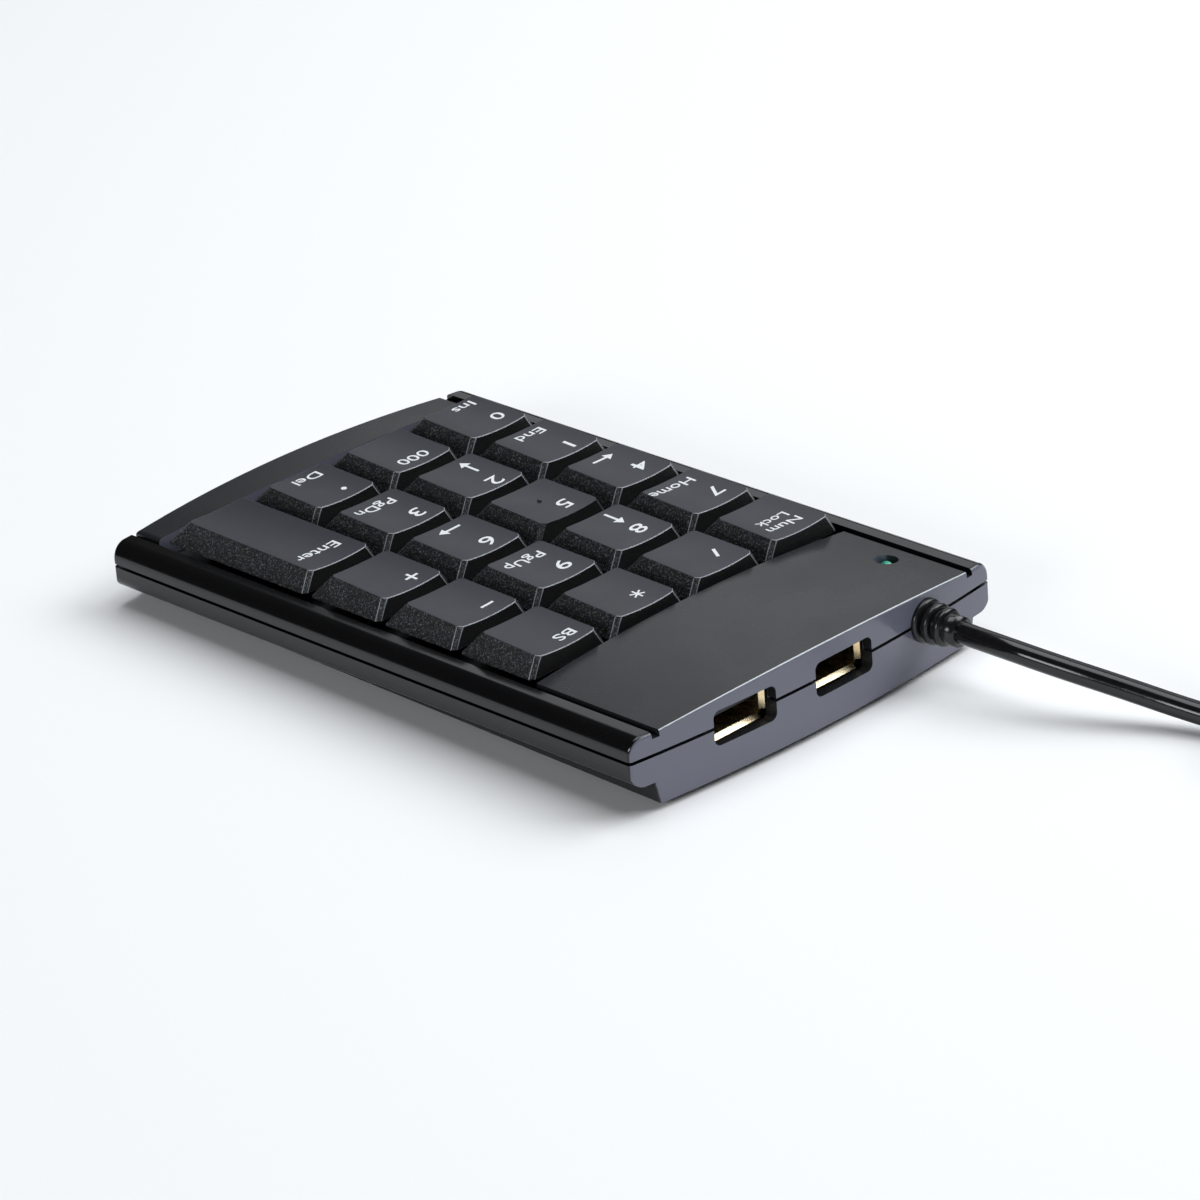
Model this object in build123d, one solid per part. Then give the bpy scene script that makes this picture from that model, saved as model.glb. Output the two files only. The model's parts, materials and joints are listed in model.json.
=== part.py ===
from build123d import *
import math
import os

# Numeric keypad with a two-port USB hub, in millimetres.
# Every case piece is drawn in the plate frame: X across, Y from the user to the ports, Z off the key
# plate, with the origin at the middle of the case on the seam between the shells.
# The finished pieces are then tilted by the pan's wedge so that the feet stand flat on Z = 0.

# Case
caseWidth = 88.0
sideLength = 131.3
endBow = 3.0
cornerRadius = 0.8
panelEase = 0.4
frontEase = 0.9
wedge = 1.05
topWall = 2.0
seamHigh = 0.25
seamLow = -0.35
railHeight = 4.08
railRound = 3.0
hubCrown = 2.0
frontCrown = 1.1
grooveCentre = 38.35
grooveWidth = 1.6
grooveDepth = 1.15
wellHalfX = 39.15
wellFront = -60.0
wellBack = 37.6
wellWall = 1.2
lipOuter = 2.1
lipInner = 2.95
lipHeight = 1.6
rimBottom = -5.0
rimRound = 3.0
rimWall = 3.0
rimFloor = 1.8
panHalfTop = 39.2
panHalfLow = 38.2
panMid = 8.25
panRise = 2.0
panEase = 0.6
panWall = 1.5
panEndWall = 2.2
ribThick = 1.2
footProud = 1.0
footSeat = 0.6
footRadius = 4.5
footX = 27.0
footY = 52.0

# Keys
pitch = 19.05
columns = 4
rows = 5
rowZeroY = -48.85
keyBase = 18.0
keyTopX = 13.24
keyTopY = 14.07
keyTopShift = 1.75
keySkirtZ = 4.0
keyBackZ = 7.75
keyFrontRise = 0.5
keyChamfer = 0.8
keyWall = 1.2
dishDepth = 0.45
nubRadius = 0.4
stemSize = 5.4
stemGap = 0.1
stemLow = -1.5
lugProud = 0.5
lugHeight = 0.5
sleeveWall = 1.0
sleeveTop = 2.9

# Layers under the keys
frameTop = 0.25
frameThick = 1.15
frameHalfX = 40.2
frameMargin = 0.9
domeSheetTop = -4.28
domeSheetThick = 0.3
domeRadius = 4.6
domeTopRadius = 2.9
filmThick = 0.12
plateThick = 0.5
ribY = (-55.0, 34.0)
frameRibX = 38.2
layerHalfX = 35.0
layerFront = -59.0
layerBack = 37.0

# Hub board and ports
boardTop = -3.1
boardThick = 1.2
boardFront = 46.2
boardBack = 64.2
boardHalfX = 34.5
portX = {"right": 19.2, "left": -4.15}
portMouthY = 65.7
portLipLength = 0.8
portLipFlare = 0.7
portPocketX = 7.6
portPocketY = (64.5, 65.9)
portPocketZ = 3.8
portDepth = 14.0
portWidth = 13.1
portHeight = 5.7
portZ = -0.25
portSheet = 0.3
cutoutWidth = 14.0
cutoutHeight = 6.4
cutoutRound = 1.3
tongueSetback = 1.3
contactHalf = 0.5
contactX = (-3.5, -1.0, 1.0, 3.5)
tailX = -4.3
tailWidth = 14.0
tailRiseY = 42.6
tailSocketZ = -1.9
socketFront = 46.4
headerY = 54.4
ledX = -32.5
ledY = 52.4
ledRadius = 1.3
ledTop = 4.2
ledRecessRadius = 2.2
ledRecessFloor = 3.0

# Fasteners
caseScrewX = 32.0
caseScrewY = (-62.6, 42.4)
caseScrewSeat = -5.4
caseScrewLength = 7.6
caseScrewHead = 1.4
bossRadius = 3.2
boardScrewPoints = ((7.55, 60.5), (30.4, 50.4), (-15.8, 54.0))

# Cord and plug
cordRadius = 2.0
cordX = -25.5
reliefLength = 8.2
reliefNeck = 2.6
reliefRib = 3.95
reliefSeat = 0.45
reliefFlange = 3.2
reliefFlangeY = (62.4, 64.8)
coilCentre = (-60.0, 146.0)
coilInner = 18.0
coilOuter = 26.2
coilBottom = 0.6
coilTop = 12.4
tieThick = 0.5
tieWidth = 9.0
tieAngle = 100.0
plugGripLength = 24.0
plugGripWidth = 15.6
plugGripHeight = 7.8
plugShellLength = 18.8
plugShellWidth = 12.0
plugShellHeight = 4.5

tall = 30.0
far = 200.0
lowAlign = (Align.CENTER, Align.CENTER, Align.MIN)
tilt = math.radians(wedge)
backFaceY = sideLength / 2 + endBow
panPlaneNormal = (0, math.sin(tilt), math.cos(tilt))
panSlope = (panHalfTop - panHalfLow) / (panMid + rimBottom + 1.2)


def caseOutline(inset=0.0, corner=cornerRadius):
    """Plan of the case: straight sides, and both ends bowed outward."""
    half = caseWidth / 2
    end = sideLength / 2
    edges = [
        Line((half, -end), (half, end)),
        ThreePointArc((half, end), (0, end + endBow), (-half, end)),
        Line((-half, end), (-half, -end)),
        ThreePointArc((-half, -end), (0, -end - endBow), (half, -end)),
    ]
    plan = make_face(edges)
    if corner:
        plan = fillet(plan.vertices(), corner)
    return offset(plan, -inset, kind=Kind.INTERSECTION) if inset else plan


def slab(face, low, high):
    return Pos(0, 0, low) * extrude(face, high - low)


def block(x0, x1, y0, y1, z0, z1):
    size = Box(x1 - x0, y1 - y0, z1 - z0)
    return Pos((x0 + x1) / 2, (y0 + y1) / 2, (z0 + z1) / 2) * size


def post(x, y, low, high, radius):
    return Pos(x, y, low) * Cylinder(radius, high - low, align=lowAlign)


def alongY(x, z, y0, y1, radius):
    rod = Cylinder(radius, y1 - y0, align=lowAlign)
    return Pos(x, y0, z) * Rot(-90, 0, 0) * rod


def bowY(x):
    """Y of the bowed back face at a distance x from the middle."""
    half = caseWidth / 2
    bowRadius = (half**2 + endBow**2) / (2 * endBow)
    return backFaceY - bowRadius + math.sqrt(bowRadius**2 - x**2)


def deckProfile(crown, y0, y1, drop=0.0):
    """Prism of the shell's cross-section: rounded rails with an arched centre between them."""
    half = caseWidth / 2 - drop
    edge = grooveCentre - grooveWidth / 2
    top = railHeight - drop
    arc = railRound - drop
    mid = arc * math.sqrt(0.5)
    edges = [
        Line((-half, y0, -tall), (half, y0, -tall)),
        Line((half, y0, -tall), (half, y0, top - arc)),
        ThreePointArc(
            (half, y0, top - arc), (half - arc + mid, y0, top - arc + mid), (half - arc, y0, top)
        ),
        Line((half - arc, y0, top), (edge, y0, top)),
        ThreePointArc((edge, y0, top), (0, y0, top + crown), (-edge, y0, top)),
        Line((-edge, y0, top), (-half + arc, y0, top)),
        ThreePointArc(
            (-half + arc, y0, top), (-half + arc - mid, y0, top - arc + mid), (-half, y0, top - arc)
        ),
        Line((-half, y0, top - arc), (-half, y0, -tall)),
    ]
    return extrude(make_face(edges), y1 - y0, dir=(0, 1, 0))


def roundedBox(width, depth, height, radius):
    """A box with its upright edges rounded."""
    plan = fillet(Rectangle(width, depth).vertices(), radius)
    return extrude(plan, height)


def portCutouts(depth=8.0):
    """The two openings through the back wall, each with a pocket behind it for the receptacle's lips."""
    hole = roundedBox(cutoutWidth, cutoutHeight, depth, cutoutRound)
    hole = Pos(0, backFaceY + 1, portZ) * Rot(90, 0, 0) * hole
    hole += block(
        -portPocketX, portPocketX, *portPocketY, portZ - portPocketZ, portZ + portPocketZ
    )
    return [Pos(x, 0, 0) * hole for x in portX.values()]


def reliefHole():
    """A hole for the strain relief's neck, a pocket for its flange and a shallow seat for its first rib."""
    hole = alongY(cordX, 0, 60.0, backFaceY + 1, reliefNeck + 0.03)
    hole += alongY(cordX, 0, reliefFlangeY[0] - 1, reliefFlangeY[1] + 0.03, reliefFlange + 0.03)
    return hole + alongY(cordX, 0, bowY(cordX) - reliefSeat, backFaceY + 1, reliefRib + 0.03)


def keyCells():
    """Every key's name, column, and the lowest and highest row that it covers."""
    names = (
        ("key_0", "key_000", "key_decimal", "key_enter"),
        ("key_1", "key_2", "key_3", None),
        ("key_4", "key_5", "key_6", "key_plus"),
        ("key_7", "key_8", "key_9", "key_minus"),
        ("key_num_lock", "key_divide", "key_multiply", "key_backspace"),
    )
    cells = []
    for row, line in enumerate(names):
        for column, name in enumerate(line):
            if name:
                tallKey = name == "key_enter"
                cells.append((name, column, row, row + 1 if tallKey else row))
    return cells


def columnX(column):
    return (column - (columns - 1) / 2) * pitch


def rowY(row):
    return rowZeroY + row * pitch


def domeCentres():
    return [(columnX(c), (rowY(low) + rowY(high)) / 2) for _, c, low, high in keyCells()]


def stemCentres(column, low, high):
    """A short key has one stem. The tall key has a guide stem in each cell and a pusher between."""
    ys = {rowY(low), rowY(high), (rowY(low) + rowY(high)) / 2}
    return [(columnX(column), y) for y in sorted(ys)]


def cutCorners(width, depth, leg):
    """A rectangle with its corners cut at 45 degrees."""
    return chamfer(Rectangle(width, depth).vertices(), leg)


def keycap(name, column, low, high):
    extra = (high - low) * pitch
    centre = (rowY(low) + rowY(high)) / 2
    highest = keyBackZ + keyFrontRise
    base = cutCorners(keyBase, keyBase + extra, keyChamfer)
    top = Pos(0, keyTopShift, highest - keySkirtZ) * cutCorners(keyTopX, keyTopY + extra, keyChamfer)
    body = loft([base, top], ruled=True)
    # The top falls towards the back by keyFrontRise, and is hollowed by a cylinder along Y.
    fall = math.degrees(math.atan(keyFrontRise / (keyTopY + extra)))
    dishRadius = ((keyTopX / 2) ** 2 + dishDepth**2) / (2 * dishDepth)
    dish = Cylinder(dishRadius, far)
    middleZ = keyBackZ - keySkirtZ + keyFrontRise / 2
    body -= (
        Pos(0, keyTopShift, middleZ - dishDepth + dishRadius) * Rot(90 - fall, 0, 0) * dish
    )
    inner = cutCorners(keyBase - 2 * keyWall, keyBase + extra - 2 * keyWall, keyChamfer)
    innerTop = cutCorners(keyTopX - 2 * keyWall, keyTopY + extra - 2 * keyWall, keyChamfer)
    roof = keyBackZ - keySkirtZ - dishDepth - keyWall
    body -= loft([inner, Pos(0, keyTopShift, roof) * innerTop], ruled=True)
    cap = Pos(columnX(column), centre, keySkirtZ) * body
    for x, y in stemCentres(column, low, high):
        half = stemSize / 2
        stem = Pos(x, y, stemLow) * extrude(
            cutCorners(stemSize, stemSize, 0.6), keySkirtZ + roof + 0.4 - stemLow
        )
        lugs = block(x - half - lugProud, x + half + lugProud, y - 1, y + 1, stemLow, stemLow + lugHeight)
        cap += stem + lugs
    if name == "key_5":
        nub = Cylinder(nubRadius, 1.4)
        floorZ = keyBackZ + keyFrontRise / 2 - dishDepth
        cap += Pos(columnX(column), centre + keyTopShift - 1.0, floorZ - 0.3) * fillet(
            nub.edges().group_by(Axis.Z)[-1], 0.25
        )
    return cap


def topSkin():
    """The shell's solid outside: two round-shouldered rails and two arched panels, end edges eased."""
    plan = slab(caseOutline(0, 0), seamHigh, tall)
    edge = grooveCentre - grooveWidth / 2
    outer = slab(caseOutline(0, 0), seamHigh, railHeight - grooveDepth)
    outer &= block(-wellHalfX - 1, wellHalfX + 1, -far, far, 0, tall)
    rear = plan & deckProfile(hubCrown, -far, far) & block(-edge, edge, wellBack, far, 0, tall)
    rear = fillet([e for e in rear.edges() if e.center().Y > 60 and e.center().Z > railHeight], panelEase)
    front = plan & deckProfile(frontCrown, -far, far) & block(-edge, edge, -far, wellFront, 0, tall)
    front = fillet([e for e in front.edges() if e.center().Y < -62 and e.center().Z > railHeight], frontEase)
    outer += rear + front
    for side in (-1, 1):
        inner = side * wellHalfX
        rail = plan & deckProfile(hubCrown, -far, far)
        rail &= block(min(inner, side * far), max(inner, side * far), -far, far, 0, tall)
        ends = [e for e in rail.edges() if abs(e.center().Y) > 60 and e.center().Z > seamHigh + 0.01]
        ends = [e for e in ends if abs(e.center().X - inner) > 0.01]
        outer += fillet(ends, cornerRadius)
    return outer


def topShell():
    outer = topSkin()
    inside = slab(caseOutline(topWall), -1, tall) & (
        deckProfile(hubCrown, -20, far, 1.8) + deckProfile(frontCrown, -far, -20, 1.8)
    )
    shell = outer - inside
    ring = block(
        -wellHalfX - wellWall, wellHalfX + wellWall, wellFront - wellWall, wellBack + wellWall, seamHigh, 9
    )
    shell += ring & outer
    for x in (-caseScrewX, caseScrewX):
        for y in caseScrewY:
            shell += post(x, y, seamHigh, 9, bossRadius) & outer
    shell -= block(-wellHalfX, wellHalfX, wellFront, wellBack, -1, tall)
    for x in (-caseScrewX, caseScrewX):
        for y in caseScrewY:
            shell -= post(x, y, -1, 2.3, 1.12)
    shell -= post(ledX, ledY, ledRecessFloor, tall, ledRecessRadius)
    shell -= post(ledX, ledY, -1, tall, ledRadius + 0.1)
    shell += (post(ledX, ledY, 1.6, 9, ledRecessRadius + 1.0) & outer) - post(
        ledX, ledY, ledRecessFloor, tall, ledRecessRadius
    ) - post(ledX, ledY, -1, tall, ledRadius + 0.1)
    for hole in portCutouts():
        shell -= hole
    return shell - reliefHole()


def bottomShell():
    shell = rimBody() + easedPan()
    shell -= slab(caseOutline(rimWall), rimBottom + rimFloor, tall)
    shell -= panBody(panWall) & slab(caseOutline(panEndWall), -tall, 0)
    lip = slab(caseOutline(lipOuter), -lipHeight, lipHeight) - slab(caseOutline(lipInner), -tall, tall)
    for x in (-caseScrewX, caseScrewX):
        lip -= post(x, caseScrewY[0], -tall, tall, bossRadius + 0.3)
    shell += lip
    supports = []
    half = ribThick / 2
    for x in (-pitch, 0, pitch):
        supports.append(block(x - half, x + half, *ribY, -tall, layerBottom()))
    for x in (-frameRibX, frameRibX):
        supports.append(block(x - half, x + half, *ribY, rimBottom + rimFloor / 2, frameTop - frameThick))
    for x, y in boardScrewPoints:
        supports.append(post(x, y, -tall, boardTop - boardThick, 2.2))
    for x in (-caseScrewX, caseScrewX):
        for y in caseScrewY:
            supports.append(post(x, y, -tall, seamHigh, bossRadius))
    inside = slab(caseOutline(rimWall / 2), -tall, tall)
    inside &= panBody(panWall / 3) + slab(caseOutline(), rimBottom + rimFloor / 3, tall)
    for support in supports:
        shell += support & inside
    for x, y in boardScrewPoints:
        shell -= post(x, y, boardTop - boardThick - 3.0, 0, 0.97)
    for x in (-caseScrewX, caseScrewX):
        for y in caseScrewY:
            shell -= post(x, y, -tall, tall, 1.3)
            shell -= post(x, y, -tall, caseScrewSeat, 2.45)
    for hole in portCutouts():
        shell -= hole
    for x in portX.values():
        shell -= block(x - portPocketX, x + portPocketX, portPocketY[0], 66.2, seamLow, tall)
    shell -= block(cordX - 4.2, cordX + 4.2, 61.0, 66.6, seamLow, tall)
    return shell - reliefHole()


def rimBody():
    """The shell's upper part, with its two long lower edges rounded."""
    half = caseWidth / 2
    section = make_face(
        Polyline((-half, rimBottom), (half, rimBottom), (half, seamLow), (-half, seamLow), close=True)
    )
    section = fillet(section.vertices().group_by(Axis.Y)[0], rimRound)
    bar = extrude(Pos(0, far, 0) * Rot(90, 0, 0) * section, 2 * far)
    return bar & slab(caseOutline(), rimBottom, seamLow)


def panBody(wall):
    """The tapered pan, cut off below by the plane that lies level when the keypad stands."""
    highZ = rimBottom + panRise
    highHalf = panHalfTop + (highZ - rimBottom) * panSlope - wall
    lowHalf = highHalf - (highZ + tall) * panSlope
    profile = make_face(
        Polyline(
            (-highHalf, -far, highZ), (highHalf, -far, highZ), (lowHalf, -far, -tall), (-lowHalf, -far, -tall),
            close=True,
        )
    )
    body = extrude(profile, 2 * far, dir=(0, 1, 0))
    floorPlane = Plane(origin=(0, 0, -panMid + wall), z_dir=panPlaneNormal)
    return split(body, bisect_by=floorPlane, keep=Keep.TOP)


def easedPan():
    """The pan out to the case's ends, with its upright corners and the edges of its floor eased."""
    pan = panBody(0.0) & slab(caseOutline(), -tall, tall)
    top = pan.faces().sort_by(Axis.Z)[-1]
    return fillet([e for e in pan.edges() if e not in top.edges()], panEase)


def layerBottom():
    return domeSheetTop - domeSheetThick - 3 * filmThick - plateThick


def keyFrame():
    low = frameTop - frameThick
    frame = block(
        -frameHalfX, frameHalfX, wellFront - frameMargin, wellBack + frameMargin, low, frameTop
    )
    inner = stemSize + 2 * stemGap
    outer = inner + 2 * sleeveWall
    for _, column, lowRow, highRow in keyCells():
        for x, y in stemCentres(column, lowRow, highRow):
            frame += block(x - outer / 2, x + outer / 2, y - outer / 2, y + outer / 2, low, sleeveTop)
    for _, column, lowRow, highRow in keyCells():
        for x, y in stemCentres(column, lowRow, highRow):
            frame -= block(x - inner / 2, x + inner / 2, y - inner / 2, y + inner / 2, low - 1, tall)
    for column in range(columns - 1):
        for row in range(rows - 1):
            x = columnX(column) + pitch / 2
            frame += post(x, rowY(row) + pitch / 2, domeSheetTop, low + 0.2, 1.5)
    for x in (-caseScrewX, caseScrewX):
        for y in caseScrewY:
            frame -= post(x, y, -tall, tall, bossRadius + 0.3)
    return frame


def layer(low, high):
    return block(-layerHalfX, layerHalfX, layerFront, layerBack, low, high)


def domeSheet():
    low = domeSheetTop - domeSheetThick
    sheet = layer(low, domeSheetTop)
    height = stemLow - domeSheetTop
    for x, y in domeCentres():
        dome = Cone(domeRadius, domeTopRadius, height, align=lowAlign)
        hollow = Cone(domeRadius - 0.5, domeTopRadius - 0.7, height - 0.6, align=lowAlign)
        sheet += Pos(x, y, domeSheetTop) * dome
        sheet -= Pos(x, y, domeSheetTop) * hollow
        sheet -= post(x, y, low - 1, domeSheetTop + 0.01, domeRadius - 0.5)
    return sheet


def membranes():
    """Two printed films, and a spacer film with a hole under each dome."""
    top = domeSheetTop - domeSheetThick
    upper = layer(top - filmThick, top)
    spacer = layer(top - 2 * filmThick, top - filmThick)
    lower = layer(top - 3 * filmThick, top - 2 * filmThick)
    for x, y in domeCentres():
        spacer -= post(x, y, -tall, tall, 3.0)
    return {"membrane_upper": upper, "membrane_spacer": spacer, "membrane_lower": lower}


def membraneTail():
    """The lower film's tail, which rises from the stack to its socket on the board."""
    low = domeSheetTop - domeSheetThick - 3 * filmThick
    high = low + filmThick
    x0 = tailX - tailWidth / 2
    x1 = tailX + tailWidth / 2
    tail = block(x0, x1, layerBack, tailRiseY, low, high)
    tail += block(x0, x1, tailRiseY - filmThick, tailRiseY, low, tailSocketZ)
    return tail + block(x0, x1, tailRiseY - filmThick, socketFront, tailSocketZ - filmThick, tailSocketZ)


def hubBoard():
    board = block(-boardHalfX, boardHalfX, boardFront, boardBack, boardTop - boardThick, boardTop)
    board -= block(cordX - 6.2, cordX + 6.2, 58.0, far, -tall, tall)
    for x, y in boardScrewPoints:
        board -= post(x, y, -tall, tall, 1.15)
    for x in portX.values():
        for side in (-1, 1):
            legX = x + side * (portWidth / 2 - portSheet / 2)
            board -= block(legX - 0.35, legX + 0.35, legY() - 1.4, legY() + 1.4, -tall, tall)
    return board


def legY():
    return portMouthY - portDepth / 2


def portShell(x):
    """A folded sheet-metal receptacle: a rectangular tube with spring windows and four flared lips."""
    back = portMouthY - portDepth
    length = portDepth - portLipLength
    outer = Box(portWidth, length, portHeight)
    hollow = Box(portWidth - 2 * portSheet, length - portSheet + 1, portHeight - 2 * portSheet)
    shell = outer - Pos(0, (portSheet + 1) / 2, 0) * hollow
    for z in (-1, 1):
        for side in (-1, 1):
            window = Box(2.2, 5.0, 1.0)
            shell -= Pos(side * 3.0, 1.5, z * portHeight / 2) * window
            spring = Box(1.6, 4.6, portSheet)
            shell += Pos(side * 3.0, 1.8, z * (portHeight - portSheet) / 2) * spring
    for side in (-1, 1):
        leg = Box(portSheet, 2.4, 2.2)
        legPlace = Pos(side * (portWidth - portSheet) / 2, legY() - back - length / 2, -portHeight / 2 - 0.9)
        shell += legPlace * leg
    shell = Pos(x, back + length / 2, portZ) * shell
    for turn in (0, 180):
        lip = portLip(portHeight / 2, portWidth - 1.6)
        shell += Pos(x, back + length, portZ) * Rot(0, turn, 0) * lip
    for turn in (90, 270):
        lip = portLip(portWidth / 2, portHeight - 1.6)
        shell += Pos(x, back + length, portZ) * Rot(0, turn, 0) * lip
    return shell


def portLip(half, span):
    """One flared lip along the top of a mouth that lies at Y = 0."""
    profile = make_face(
        Polyline(
            (-span / 2, 0, half - portSheet),
            (-span / 2, 0, half),
            (-span / 2, portLipLength, half + portLipFlare),
            (-span / 2, portLipLength, half + portLipFlare - portSheet),
            close=True,
        )
    )
    return extrude(profile, span, dir=(1, 0, 0))


def portTongue(x):
    """The moulded block at the back of a receptacle, with the tongue that carries the contacts."""
    inner = portWidth - 2 * portSheet - 0.1
    height = portHeight - 2 * portSheet - 0.1
    back = portMouthY - portDepth + portSheet
    base = block(x - inner / 2, x + inner / 2, back, back + 3.0, portZ - height / 2, portZ + height / 2)
    tongue = block(x - 5.6, x + 5.6, back + 2.9, portMouthY - tongueSetback, portZ + 0.35, portZ + 2.15)
    return base + tongue


def portContacts(x):
    back = portMouthY - portDepth + portSheet + 3.0
    pins = []
    front = portMouthY - tongueSetback - 0.6
    for dx in contactX:
        pins.append(block(x + dx - contactHalf, x + dx + contactHalf, back, front, portZ + 0.1, portZ + 0.35))
    return Compound(pins)


def statusLed():
    led = post(ledX, ledY, 0.2, ledTop - ledRadius, ledRadius)
    led += Pos(ledX, ledY, ledTop - ledRadius) * Sphere(ledRadius)
    led += post(ledX, ledY, 0.2, 1.2, 1.7)
    for side in (-1, 1):
        x = ledX + side * 0.8
        led += block(x - 0.25, x + 0.25, ledY - 0.25, ledY + 0.25, boardTop, 0.3)
    return led


def boardPieces():
    """What is soldered to the top of the hub board."""
    top = boardTop
    can = roundedBox(10.0, 4.2, 3.4, 2.0)
    can = fillet(can.edges().group_by(Axis.Z)[-1], 0.4)
    cans = [post(28.4, y, top, top + 4.6, 2.4) for y in (55.8, 61.2)]
    chips = []
    for index in range(6):
        x = -34.0 + 2.0 * index
        chips.append(block(x, x + 1.4, 47.2, 48.0, top, top + 0.5))
    for index in range(3):
        for y in (55.8, 57.2):
            x = 3.6 + 2.6 * index
            chips.append(block(x, x + 1.6, y, y + 0.8, top, top + 0.5))
    socket = block(tailX - 8, tailX + 8, socketFront, socketFront + 2.2, top, top + 0.8)
    socket += block(tailX - 8, tailX + 8, socketFront + 0.8, socketFront + 2.2, top, top + 2.6)
    return {
        "hub_controller": legged(7.55, 51.0, 7.0, 6.0, 1.4, 6),
        "key_controller": legged(19.2, 48.7, 9.0, 2.4, 1.4, 7),
        "crystal": Pos(-17.2, 49.4, top) * can,
        "capacitors": Compound(cans),
        "chip_passives": Compound(chips),
        "tail_connector": socket,
        "cable_header": block(cordX - 3.5, cordX + 3.5, headerY, headerY + 2.8, top, top + 4.2),
    }


def legged(x, y, width, depth, height, legs):
    """A moulded chip with a row of legs along its front and back."""
    body = Pos(x, y, boardTop + 0.15) * Box(width, depth, height, align=lowAlign)
    step = (width - 1.0) / (legs - 1)
    for index in range(legs):
        dx = -(width - 1.0) / 2 + index * step
        body += block(
            x + dx - 0.2, x + dx + 0.2, y - depth / 2 - 0.9, y + depth / 2 + 0.9, boardTop, boardTop + 0.35
        )
    return body


def caseScrews():
    screws = []
    for x in (-caseScrewX, caseScrewX):
        for y in caseScrewY:
            head = post(x, y, caseScrewSeat - caseScrewHead, caseScrewSeat, 2.2)
            slot = roundedBox(2.4, 0.6, 0.9, 0.1)
            for turn in (0, 90):
                head -= Pos(x, y, caseScrewSeat - caseScrewHead) * Rot(0, 0, turn) * slot
            screws.append(head + post(x, y, caseScrewSeat, caseScrewSeat + caseScrewLength, 1.1))
    return Compound(screws)


def boardScrews():
    screws = []
    for x, y in boardScrewPoints:
        head = post(x, y, boardTop, boardTop + 1.2, 1.9)
        screws.append(head + post(x, y, boardTop - boardThick - 2.8, boardTop, 0.95))
    return Compound(screws)


def rubberFeet():
    """Four round feet in seats in the pan, drawn level, as they stand."""
    feet = []
    for x in (-footX, footX):
        for y in (-footY, footY):
            foot = post(x, y, 0, footProud + footSeat, footRadius)
            feet.append(fillet(foot.edges().group_by(Axis.Z)[0], 0.4))
    return feet


def strainRelief():
    """Moulded round the cord: an inner flange, a neck through the wall and three ribs outside."""
    seat = bowY(cordX) - reliefSeat
    face = bowY(cordX)
    end = face + reliefLength
    inner, outer = reliefFlangeY
    steps = [(inner, 0), (inner, reliefFlange), (outer, reliefFlange), (outer, reliefNeck), (seat, reliefNeck)]
    ribStart = seat
    for rib in range(3):
        ribEnd = face + 1.4 + 2.5 * rib
        radius = reliefRib - 0.12 * rib
        steps += [(ribStart, radius), (ribEnd, radius - 0.1), (ribEnd + 0.2, 2.95), (ribEnd + 0.9, 2.85)]
        ribStart = ribEnd + 1.1
    steps = steps[:-1] + [(end, 2.5), (end, 0)]
    outline = make_face(Polyline(*[(cordX + r, y, 0) for y, r in steps], close=True))
    return revolve(outline, Axis((cordX, 0, 0), (0, 1, 0)))


def cableLeads():
    """Four insulated wires between the strain relief and the header."""
    wires = []
    for index in range(4):
        x = cordX + (index - 1.5) * 1.3
        wires.append(alongY(x, -0.4, headerY + 2.8, reliefFlangeY[0], 0.5))
    return Compound(wires)


def stand(shape):
    return Pos(0, standY, standZ) * Rot(wedge, 0, 0) * shape


def onTable(point):
    """Where a point of the plate frame lies when the keypad stands on its feet."""
    x, y, z = point
    return (
        x,
        y * math.cos(tilt) - z * math.sin(tilt) + standY,
        y * math.sin(tilt) + z * math.cos(tilt) + standZ,
    )


def roundedRoute(points):
    """Straight runs joined by tangent arcs, each as large as its two runs allow."""
    radii = []
    for index in range(1, len(points) - 1):
        before = Vector(*points[index]) - Vector(*points[index - 1])
        after = Vector(*points[index + 1]) - Vector(*points[index])
        half = math.radians(before.get_angle(after)) / 2
        radii.append(0.45 * min(before.length, after.length) / math.tan(half))
    print("cord radii", [round(r, 1) for r in radii])
    return FilletPolyline(*points, radius=radii)


def cordTube(points):
    line = roundedRoute(points)
    start = Vector(*points[1]) - Vector(*points[0])
    section = Plane(origin=points[0], z_dir=start) * Circle(cordRadius)
    tube = sweep(section, path=line)
    print("cord tube", round(tube.volume, 1), round(math.pi * cordRadius**2 * line.length, 1))
    return tube


def cordRoutes():
    """The lead from the strain relief to the coil, and the tail from the coil to the plug."""
    face = bowY(cordX) + reliefLength
    cx, cy = coilCentre
    lead = [
        onTable((cordX, face, 0)),
        onTable((cordX, face + 9, 0)),
        (-28.0, 94.5, 9.25),
        (-33.0, 104.8, 6.4),
        (-37.9, 115.2, 3.4),
        (-40.4, 127.5, 2.6),
        (cx + 23.7, cy - 4.9, 2.6),
    ]
    tail = [
        (cx - 11.0, cy + 19.0, 9.9),
        (cx - 23.2, cy + 12.0, 8.6),
        (cx - 32.4, cy - 1.0, 5.4),
        (cx - 34.4, cy - 15.0, plugGripHeight / 2),
    ]
    return lead, tail


def cordCoil():
    section = Pos((coilInner + coilOuter) / 2, 0, (coilBottom + coilTop) / 2) * Rot(90, 0, 0) * fillet(
        Rectangle(coilOuter - coilInner, coilTop - coilBottom).vertices(), 1.8
    )
    ring = revolve(section, Axis.Z)
    return Pos(coilCentre[0], coilCentre[1], 0) * ring


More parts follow.
